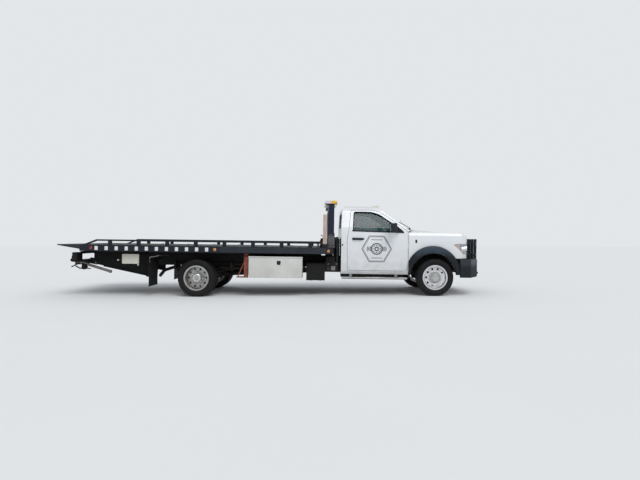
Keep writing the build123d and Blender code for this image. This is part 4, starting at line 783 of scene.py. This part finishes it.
NOSE_PLAN = ((5990, 655), (5978, 690), (5970, 710), (5961, 734), (5950, 734), (5965, 690), (5978, 655))
plate(NOSE_PLAN, lambda a, b, height: (a, b, 1244 + height), 118)
mirror()
piece("hood_corners", "white_paint", "hood")


# Cab interior: dashboard with vents, dials, column switches and the wheel's boss

block((4385, 4500), (190, 550), (1424, 1482), 22)
block((4392, 4500), (-150, 150), (1420, 1448), 12)
block((4336, 4400), (-140, 140), (1200, 1392), 16)
block((4322, 4345), (-108, 108), (1300, 1380), 6)
for y in (-60, 0, 60):
    lathe(((17, 0), (17, 10), (13, 16)), (4336, y, 1240), 20, "X", -1)
for y in (-820, -660, 660, 820):
    lathe(((46, -10), (46, 6), (38, 8), (36, 2), (6, 2)), (4362, y, 1335), 24, "X", -1)
for lean in BOTH:
    tube(((4236, 370, 1310), (4226, 370 + lean * 90, 1322), (4216, 370 + lean * 160, 1338)), 8)
block((4190, 4222), (300, 440), (1296, 1366), 20)
piece("dash_fittings", "black_plastic")

for y in (300, 440):
    lathe(((52, -6), (52, 4), (46, 6), (44, 0), (4, 0)), (4388, y, 1440), 28, "X", -1)
piece("gauges", "lamp_white")

block((4316, 4334), (-118, 118), (1664, 1728), 9)
tube(((4334, 0, 1700), (4352, 0, 1730), (4356, 0, 1752)), 7)
piece("inside_mirror", "gloss_black")

# Door panel with armrest, pocket, speaker and pull, and the moulding round its window
block((3310, 4495), (926, 938), (950, 1285), 5)
block((3480, 4120), (872, 930), (1082, 1132), 16)
block((3560, 4060), (905, 928), (980, 1050), 10)
lathe(((78, 0), (78, 6), (70, 10), (66, 4), (5, 4)), (4370, 926, 1090), 28, out=-1)
tube(((4240, 926, 1225), (4250, 902, 1225), (4330, 898, 1225), (4345, 926, 1225)), 8)
for x in range(3500, 4021, 130):
    block((x, x + 90), (921, 927), (1170, 1176), 2)
moulding = [(3950 + (x - 3950) * 1.03, 1670 + (z - 1670) * 1.08) for x, z in WINDOW if z > 1500]
tube([on_cab(x, z, -80) for x, z in moulding], 15, 8)
twins("door_trim", "black_plastic", "door_")

strap((
    (3236, 858, 1760), (3262, 835, 1690), (3330, 800, 1500), (3400, 772, 1300), (3424, 752, 1130),
    (3424, 745, 960),
), 46, 2.5)
block((3212, 3262), (846, 872), (1735, 1785), 6)
block((3402, 3446), (734, 756), (938, 1000), 6)
twins("belt", "rubber")

# Roof lining, its sun visors and the linings of the windscreen's posts: y, and z at the four x places
HALF_LINING = ((690, 1902, 1862, 1818), (600, 1938, 1896, 1842), (300, 1966, 1928, 1862), (0, 1972, 1938, 1872))
LINING = [(-y, *z) for y, *z in HALF_LINING] + [(y, *z) for y, *z in HALF_LINING[-2::-1]]
sections = []
for x, column in ((3262, 1), (3890, 1), (3996, 2), (4096, 3)):
    top = [(x, row[0], row[column]) for row in LINING]
    sections.append(ring(top + [(x, y, z - 8) for x, y, z in reversed(top)]))
skin(sections)
for side in BOTH:
    block((3950, 4100), sorted((side * 150, side * 600)), (1822, 1842), 8)
    tube(((4070, side * 745, 1832), (4300, side * 812, 1680), (4480, side * 850, 1558)), 15, 8)
piece("roof_lining", "carpet")


# Bench seat: three cushions, three backs and two headrests, swollen by a short cloth run

CUSHION = ((3428, 1108), (3424, 1206), (3890, 1184), (3906, 1150), (3884, 1102))
BACK = ((3334, 1186), (3420, 1246), (3340, 1548), (3318, 1576), (3252, 1576), (3242, 1552))
HEADREST = ((3240, 1606), (3318, 1606), (3300, 1674), (3250, 1674))
SEATS = ((-706, -222), (-206, 206), (222, 706))
VOXEL = 0.014
CLOTH_FRAMES = 20


def pads(outline, ranges, bevel):
    """Closed pads of one side outline, one for each y range."""
    for y_low, y_high in ranges:
        slab(outline, y_low, y_high)
    bmesh.ops.recalc_face_normals(draft, faces=draft.faces)
    bmesh.ops.bevel(draft, geom=list(draft.edges), offset=bevel, segments=3, affect="EDGES", profile=0.6)


def settle(made):
    """Turn the piece's modifiers into its mesh."""
    bpy.context.view_layer.update()
    final = bpy.data.meshes.new_from_object(made.evaluated_get(bpy.context.evaluated_depsgraph_get()))
    old = made.data
    made.modifiers.clear()
    made.data = final
    bpy.data.meshes.remove(old)
    final.polygons.foreach_set("use_smooth", [True] * len(final.polygons))


def swell(made, cap):
    """Blow a pad up by a short run of cloth under pressure; no point moves further than the cap."""
    grid = made.modifiers.new("grid", "REMESH")
    grid.mode = "VOXEL"
    grid.voxel_size = VOXEL
    settle(made)
    start = [vertex.co.copy() for vertex in made.data.vertices]
    cloth = made.modifiers.new("cloth", "CLOTH")
    cloth.settings.use_pressure = True
    cloth.settings.uniform_pressure_force = 4
    cloth.settings.effector_weights.gravity = 0
    cloth.settings.quality = 5
    cloth.point_cache.frame_start = 1
    cloth.point_cache.frame_end = CLOTH_FRAMES
    for number in range(1, CLOTH_FRAMES + 1):
        scene.frame_set(number)
    settle(made)
    scene.frame_set(1)
    for vertex, rest in zip(made.data.vertices, start):
        moved = vertex.co - rest
        vertex.co = rest + moved * min(1, cap / max(moved.length, 1e-9))
    made.modifiers.new("smooth", "SUBSURF").levels = 1
    settle(made)


def piping(name, made, lines):
    """Piping on a pad: each line's points are drawn to the nearest place on its skin."""
    surface = BVHTree.FromObject(made, bpy.context.evaluated_depsgraph_get())
    for points in lines:
        tube([surface.find_nearest(stand(point))[0] for point in points], 0.0035, 6)
    piece(name, "seat_cloth", angle=180, placed=True)


CUSHION_LINES = (((3440, 1222), (3885, 1200), 30), ((3470, 1230), (3860, 1210), 26))
BACK_LINES = (((3432, 1262), (3346, 1560), 24), ((3436, 1270), (3356, 1548), 22))

# Each pad's outline, y ranges, bevel, greatest swell in metres, and its piping's name and lines: one near the
# edges and one near the middle, each from one x and z to another in so many steps
for name, outline, ranges, bevel, cap, trim, piped in (
    ("seat_cushions", CUSHION, SEATS, 26, 0.016, "cushion_piping", CUSHION_LINES),
    ("seat_backs", BACK, SEATS, 20, 0.012, "back_piping", BACK_LINES),
    ("headrests", HEADREST, ((-590, -330), (330, 590)), 14, 0.01, None, None),
):
    pads(outline, ranges, bevel)
    made = piece(name, "seat_cloth", angle=60)
    swell(made, cap)
    made.data.materials.clear()
    made.data.materials.append(LOOKS["seat_cloth"])
    if name == "seat_cushions":
        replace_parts(made, "seat")
    if not trim:
        continue
    lines = []
    for low, high in SEATS:
        wide = high - low
        for y, line in ((low + 10, 0), (high - 10, 0), (low + wide * 0.3, 1), (low + wide * 0.7, 1)):
            (x, z), (x_end, z_end), count = piped[line]
            lines.append(runs((x, y, z), (x_end, y, z_end), count))
        if name == "seat_cushions":
            lines.append(runs((3862, low + 14, 1205), (3862, high - 14, 1205), 24))
    piping(trim, made, lines)

# Seat base on its feet
for y in (400, 520):
    tube(((3286, y, 1570), (3280, y, 1612)), 6)
block((3340, 3420), (692, 716), (1060, 1140), 8)
for y in (250, 600):
    block((3375, 3860), about(y, 22), (888, 942), 5)
mirror()
slab(((3362, 936), (3350, 1096), (3424, 1100), (3880, 1096), (3850, 936)), -690, 690)
piece("seat_base", "black_plastic")

# Floor mat with foot ribs, wall linings and pedals
for x in range(3960, 4361, 50):
    block((x, x + 24), (180, 760), (893, 899), 2)
mirror()
block((3290, 4520), (-884, 884), (885, 894), 3)
block((3197, 3212), (-880, 880), (900, 1440), 6)
block((4528, 4547), (-880, 880), (890, 1210), 6)
piece("cab_linings", "carpet")

for y, low, high, half in ((300, 985, 1045, 45), (490, 925, 1060, 28)):
    block((4418, 4430), about(y, half), (low, high), 4)
    tube(((4430, y, (low + high) / 2), (4500, y, 1120), (4534, y, 1180)), 8)
piece("pedals", "rubber")


# Under the hood: wheel housings, fan shroud and air box

arcs = []
for radius in (520, 528):
    turns = [radians(turn) for turn in range(35, 146, 5)]
    arcs.append([(WHEELBASE + radius * cos(turn), FRONT_Z + radius * sin(turn)) for turn in turns])
slab(arcs[0] + arcs[1][::-1], 560, 955)
mirror()
block((5818, 5878), (-420, 420), (884, 1232), 20)
block((5180, 5460), (590, 860), (1004, 1250), 26)
for x in range(5210, 5440, 36):
    block((x, x + 14), (600, 850), (1246, 1256), 3)
piece("engine_bay", "black_plastic")

# Engine covers with their bolts, and exhaust branches
block((4830, 5470), (196, 286), (1188, 1238), 16)
for x in range(4870, 5450, 110):
    block(about(x, 9), (231, 249), (1236, 1248), 3)
tube(((4900, 290, 1120), (4980, 330, 1000), (5060, 340, 800)), 34, 12)
mirror()
block((4860, 5400), (-176, 176), (1188, 1258), 24)
for y in range(-140, 141, 40):
    block((4890, 5370), about(y, 7), (1254, 1266), 3)
piece("engine_covers", "cast")

tube(((5300, 640, 1200), (5330, 520, 1232), (5400, 330, 1238), (5420, 150, 1232), (5390, 60, 1226)), 44, 16)
tube(((5822, -220, 1190), (5740, -215, 1200), (5640, -150, 1196), (5552, -110, 1180)), 27, 12)
tube(((5822, 240, 960), (5700, 230, 940), (5552, 180, 930)), 27, 12)
for y in (-240, 240):
    lathe(((70, 0), (70, 40), (40, 44), (12, 44)), (5556, y, 1000), 28, "X")
piece("hoses", "rubber")

block((5020, 5290), (-860, -640), (1004, 1196), 8)
block((5012, 5298), (-868, -632), (1170, 1204), 6)
for y in (-800, -700):
    lathe(((12, -6), (12, 6), (8, 8)), (5050, y, 1210), 14)
block((5140, 5164), (-872, -628), (1000, 1212), 3)
piece("battery", "gloss_black")


# Between the cab and the bed: filler and breather pipes with the cap and the cab's side screw

lathe(((18, -2), (18, 3), (13, 6), (3, 7)), (3160, 1002, 1163), 20)
lathe(((11, -2), (11, 3), (8, 4), (2, 3)), (3635, 1001, 1300), 16)
tube(((3045, 940, 796), (3045, 940, 1240), (3040, 952, 1300)), 24, 12)
tube(((3056, 880, 796), (3056, 880, 1200)), 15)
lathe(((36, 0), (36, 22), (30, 30), (10, 32)), (3040, 952, 1306), 20)
block((3020, 3070), (860, 970), (1080, 1100), 4)
mirror()
piece("filler_pipes", "black_plastic")

# Painted shade: a near-black block across the gap just behind the cab, drawn as the oil tank of the bed's rams,
# on the rails behind the cab, with its feet, ribs and cap
block((3008, 3098), (470, 800), (806, 900), 10)
for y in (200, 400, 600):
    block((3002, 3104), about(y, 14), (880, 1294), 3)
mirror()
block((3008, 3098), (-800, 800), (884, 1290), 14)
lathe(((34, -4), (34, 18), (28, 22), (4, 22)), (3050, -700, 1290), 20)
piece("shade_tank_behind_cab", "frame_paint")

block((2915, 3005), (989, 995), (604, 692), 2)
bolts(((2850, 990, 640), (2850, 990, 740), (3030, 990, 740)))
mirror()
piece("side_reflectors", "grey_steel", "chassis")

block((925, 1206), (1119, 1150), (888, 900), 3)
mirror()
for side in BOTH:
    band = oblong(about(side * 780, 233), (369, 775), 73, 6)
    for x in (2470, 2680):
        strap([(x, y, z) for y, z in band + band[:1]], 42, 4)
piece("tank_straps", "frame_paint", "chassis")

for x in (3350, 4090):
    block((x, x + 300), (1026, 1070), (468, 476), 3)
    for left in range(x + 12, x + 269, 32):
        block((left, left + 14), (1028, 1068), (475, 479), 1)
mirror()
piece("step_pads", "rubber")


# Toolboxes: latch with its pull, rivets and edge strips

latch = rounded(((1740, 716, 34), (1824, 716, 34), (1824, 804, 8), (1740, 804, 8)), 6)
plate(latch, lambda a, b, height: (a, 1216 + height, b), 5)
tube(((1756, 1222, 780), (1782, 1226, 744), (1808, 1222, 780)), 5, 8)
twins("toolbox_latch", "black_plastic", "toolbox_door_")

for x in (1180, 1710, 2240):
    for z in (480, 830):
        lathe(((7, 0), (6, 2), (3, 3)), (x, 1217.5, z), 12)
for z in (452, 852):
    block((1150, 2270), (1217, 1219), about(z, 5), 1)
twins("toolbox_trim", "box_metal", "toolbox_door_")


# Rack: feet, tie-down rings, the plank's pocket, the plank and the lamps that shine on the deck

slab(((2650, 1102), (2650, 1116), (2780, 1240), (2816, 1240), (2816, 1102)), 1086, 1096)
lathe(((24, -6), (24, 6), (12, 8), (12, -8)), (2697, 1100, 1150), 20)
bolts([(x, 1100, z) for x in (2845, 2945) for z in (1150, 1370)], size=11)
for x in (2712, 2822):
    block((x, x + 8), (1110, 1192), (1102, 1300), 1)
block((2712, 2830), (1188, 1194), (1102, 1180), 1)
block((2712, 2830), (1104, 1112), (1102, 1300), 1)
mirror()
piece("rack_feet", "bed_paint", "bed")

block((2726, 2816), (-1184, -1146), (1106, 1818), 3)
piece("plank", "timber", "bed")

for y in (-560, 560):
    reflector = ((8, -56), (36, -44), (46, -8), (48, 0), (48, 14), (42, 16), (6, 15))
    lathe(reflector, (2812, y, 2030), 24, "X", -1)
    tube(((2872, y, 1984), (2860, y, 2016), (2850, y, 2030)), 8)
piece("work_lamps", "lamp_white", "bed")


# Winch: wound rope, drum flanges, motor, clutch lever and roller

WINCH_X, WINCH_Z = 2770, 1210

winding = [(64, -150)]
for turn in range(22):
    y = -150 + turn * 13.6
    winding += [(66, y), (73, y + 3), (76, y + 6.8), (73, y + 10.6), (66, y + 13.6)]
lathe(winding, (WINCH_X, 0, WINCH_Z), 40)
piece("winch_rope", "bright_steel", "bed")

for y in (-166, 158):
    lathe(((20, -4), (112, -4), (114, 0), (112, 4), (20, 4)), (WINCH_X, y, WINCH_Z), 36)
motor = ((40, 200), (40, 216), (64, 216), (64, 300), (52, 312), (20, 314))
lathe(motor, (WINCH_X, 0, WINCH_Z), 28)
bolts([(x, -401, z) for x, z in circle(WINCH_X, WINCH_Z, 66, 8)], -1, size=6)
tube(((2770, 250, 1270), (2764, 252, 1330), (2700, 254, 1372)), 8)
lathe(((12, -14), (15, 0), (12, 14)), (2698, 254, 1374), 14)
for y in (-230, 230):
    block((2600, 2640), about(y, 10), (1101, 1190), 3)
lathe(((26, -220), (26, 220)), (2620, 0, 1165), 24)
piece("winch_fittings", "grey_steel", "bed")


# Deck: tie-down slots and tail ribs; levers and rails under its sides

for x in range(-2100, 2600, 670):
    plate(oblong(about(x, 62), (984, 1036), 24), lambda a, b, height: (a, b, 1100.5 + height), 4)
    loop = [(x + 34 * a, 1010 + 15 * b, 1106) for a, b in circle(0, 0, 1, 16)]
    tube(loop + loop[:1], 5, 6)
mirror()
for x in range(-2880, -2540, 60):
    block(about(x, 5), (-1180, 1180), (1099, 1104), 1)
piece("deck_slots", "grey_steel", "bed")

block((2800, 3000), (880, 985), (799, 905), 8)
for x in range(2820, 2981, 40):
    tube(((x, 975, 880), (x + 4, 1040, 886), (x + 8, 1100, 868)), 6, 8)
    lathe(((6, -10), (12, -2), (12, 8), (5, 14)), (x + 8, 1102, 867), 12)
mirror()
piece("bed_levers", "frame_paint")

block((3150, 4520), (868, 884), (456, 529), 4)
for x in (3500, 3870, 4240):
    block(about(x, 22), (880, 935), (462, 524), 5)
mirror()
piece("rocker_rails", "frame_paint")


# Tail: plate holder, lamp rims, lift arms, pipe and flap fittings

slab(oblong((-1650, -1280), (690, 900), 18), -1066, -1060)
piece("blank_plate", "plate_metal", "subframe")

plate_rim = oblong((-1656, -1274), (684, 906), 20)
tube([(x, -1064, z) for x, z in plate_rim + plate_rim[:2]], 7, 8)
for x in (-1600, -1330):
    block(about(x, 14), (-1062, -441), (880, 896), 2)
block((-1757, -1274), (-1058, -1052), (758, 782), 2)
block((-1320, -1280), (-1058, -1052), (652, 740), 2)
piece("plate_holder", "frame_paint", "subframe")

for x, z in ((-1738, 769), (-1300, 668)):
    lathe(((17, -6), (17, 4), (13, 9), (4, 11)), (x, -1060, z), 18, out=-1)
piece("plate_lamps", "lamp_white", "subframe")

TAIL_X = -2672
for y in (1002, 1080, 1158):
    lathe(((36.5, -2), (42, -2), (42, 8), (39, 12), (36.5, 12)), (TAIL_X - 1, y, 823), 28, "X", -1)
block((TAIL_X + 8, TAIL_X + 100), (1199, 1204), (740, 906), 3)
bolts([(x, 1203, z) for x in (TAIL_X + 22, TAIL_X + 88) for z in (756, 890)], size=6)
block((-2566, -2556), (110, 190), (888, 950), 2)
mirror()
piece("lamp_rims", "rubber", "subframe")

ARM_Y = 800
start, end = Vector((-2700, ARM_Y, 700)), Vector((-1987, ARM_Y, 490))
run = (end - start).normalized()
up = Vector((-run.z, 0, run.x))
EIGHT = ((-1, -0.8), (-0.8, -1), (0.8, -1), (1, -0.8), (1, 0.8), (0.8, 1), (-0.8, 1), (-1, 0.8))
for inner, outer, half in ((0, 1, 27), (0.02, 0.1, 32), (0.92, 0.985, 32)):
    middles = (start.lerp(end, inner), start.lerp(end, outer))
    skin([ring(middle + up * a * half + Vector((0, b * half, 0)) for a, b in EIGHT) for middle in middles])
for share in (0.25, 0.4, 0.55, 0.7):
    lathe(((13, -1), (13, 3), (8, 3), (8, -6)), start.lerp(end, share) + Vector((0, 27, 0)), 16)
lathe(((34, -52), (34, 46), (26, 54), (6, 56)), (-2748, ARM_Y, 706), 20)
tube(((-2748, 780, 706), (-2700, ARM_Y, 700)), 24)
mirror()
piece("lift_arms", "grey_steel", "lift_crossbar")

tube(((-2843, 880, 593), (-2750, 878, 640), (-2658, 876, 682)), 13, 8)
tube(((-2748, 820, 706), (-2748, 882, 690), (-2750, 884, 640)), 12, 8)
mirror()
piece("lift_handles", "frame_paint", "lift_crossbar")

drum = ((56, -36), (56, -30), (36, -30), (36, 30), (56, 30), (56, 36))
lathe(drum, (-2590, ARM_Y, 588), 20)
for y in (770, 824):
    slab(rounded(((-2660, 690, 8), (-2520, 650, 8), (-2560, 560, 30), (-2620, 560, 30))), y, y + 6)
tube(((-2590, 842, 588), (-2500, 846, 560), (-2430, 846, 556)), 11, 8)
tube(((-2590, ARM_Y, 552), (-2700, ARM_Y, 560), (-2790, ARM_Y, 610)), 14, 8)
mirror()
piece("lift_ratchets", "frame_paint", "lift_crossbar")

bend = (
    (-1000, 738), (-1001, 780), (-1002, 828), (-998, 844), (-988, 850), (-940, 854), (-891, 858), (-872, 864),
    (-823, 880),
)
hanger = [(x, 1190, z) for x, z in bend] + [(-815, 1178, 882), (-812, 1100, 880), (-812, 445, 866)]
for side in BOTH:
    tube([(x, side * y, z) for x, y, z in hanger], 8)
piece("flap_hangers", "grey_steel")

block((-1021, -1017), (660, 1190), (736, 764), 1)
bolts([(-1021, y, 750) for y in range(690, 1180, 94)], -1, "X", 7)
block((-1020, -1017), (650, 1200), (214, 236), 1)
mirror()
piece("flap_strips", "grey_steel")


# Underbody: spring clips, dampers, brake chambers, air tanks and lines along the rails

for x_axle, z_seat in ((0, REAR_Z + 50), (WHEELBASE, FRONT_Z + 28)):
    for x in about(x_axle, 62):
        for y in (470, 570):
            tube(((x, y, z_seat - 120), (x, y, z_seat + 66)), 9, 8)
        block(about(x, 10), (462, 578), (z_seat + 56, z_seat + 72), 4)
    block(about(x_axle, 80), (460, 580), (z_seat - 128, z_seat - 112), 3)
    for x in about(x_axle, 330):
        block(about(x, 12), (476, 564), (z_seat + 14, z_seat + 74), 3)
mirror()
piece("spring_clips", "cast")

for x, z in ((150, REAR_Z + 10), (WHEELBASE - 110, FRONT_Z + 60)):
    tube(((x, 380, z - 40), (x + 30, 350, z + 150)), 22, 12)
    tube(((x + 30, 350, z + 140), (x + 54, 330, z + 250)), 30, 12)
tube(((1180, 300, 560), (1620, 300, 560)), 90, 24)
lathe(((150, -4), (168, 8), (168, 70), (150, 84), (60, 88)), (0, 690, REAR_Z))
mirror()
piece("dampers_and_tanks", "frame_paint")

for out, z in ((0, 700), (4, 724)):
    line = ((-600, 470), (-200, 455), (600, 452), (1800, 452), (2600, 458), (2900, 470))
    tube([(x, y + out, z) for x, y in line], 7, 6)
for x in (-400, 200, 900, 1500, 2200):
    block(about(x, 12), (440, 470), (690, 734), 2)
mirror()
piece("frame_lines", "rubber")


# Front: bolts of the guard and bumper, fog lamps and the towing plate

for y in (134, 354):
    bolts([(6282, y, z) for z in (660, 820, 959, 1219)], size=8)
lathe(((58, -8), (58, 6), (50, 10), (48, 2), (10, 6)), (6250, 470, 730), 28, "X")
bolts([(6251, 560, z) for z in (650, 830)], 1, "X", 8)
mirror()
block((6251, 6256), (-60, 60), (640, 730), 2)
piece("bumper_fittings", "grey_steel")


# Floor, air and light

shader = graph("floor")
tone = mix(noise(0.6), (0.79, 0.8, 0.81), (0.81, 0.82, 0.83))
feed(shader, {"Base Color": tone, "Roughness": 0.9})
bmesh.ops.create_grid(draft, x_segments=2, y_segments=2, size=60)
floor_data = bpy.data.meshes.new("floor")
draft.to_mesh(floor_data)
draft.free()
floor_data.materials.append(LOOKS["floor"])
in_scene("floor", floor_data)

world = bpy.data.worlds.new("world")
scene.world = world
world.use_nodes = True
tree = world.node_tree
sky = feed(tree.nodes["Background"], {"Color": (0.92, 0.96, 1.0, 1), "Strength": 0.62})
backdrop = add("Background", {"Color": (0.77, 0.79, 0.81, 1), "Strength": 1.0})
rays = add("LightPath", {}).outputs
direct = add("Math", {0: rays["Is Camera Ray"], 1: rays["Is Transmission Ray"]}, operation="MAXIMUM")
choice = add("MixShader", {"Fac": direct.outputs[0], 1: sky.outputs[0], 2: backdrop.outputs[0]})
feed(tree.nodes["World Output"], {"Surface": choice.outputs[0]})

sun_data = bpy.data.lights.new("soft_sun", "SUN")
sun_data.energy = 1.5
sun_data.angle = radians(40)
sun_data.color = (1.0, 0.985, 0.96)
sun = in_scene("soft_sun", sun_data)
sun.rotation_euler = Vector((-0.25, 0.62, -0.8)).to_track_quat("-Z", "Y").to_euler()

scene.view_settings.view_transform = "Standard"
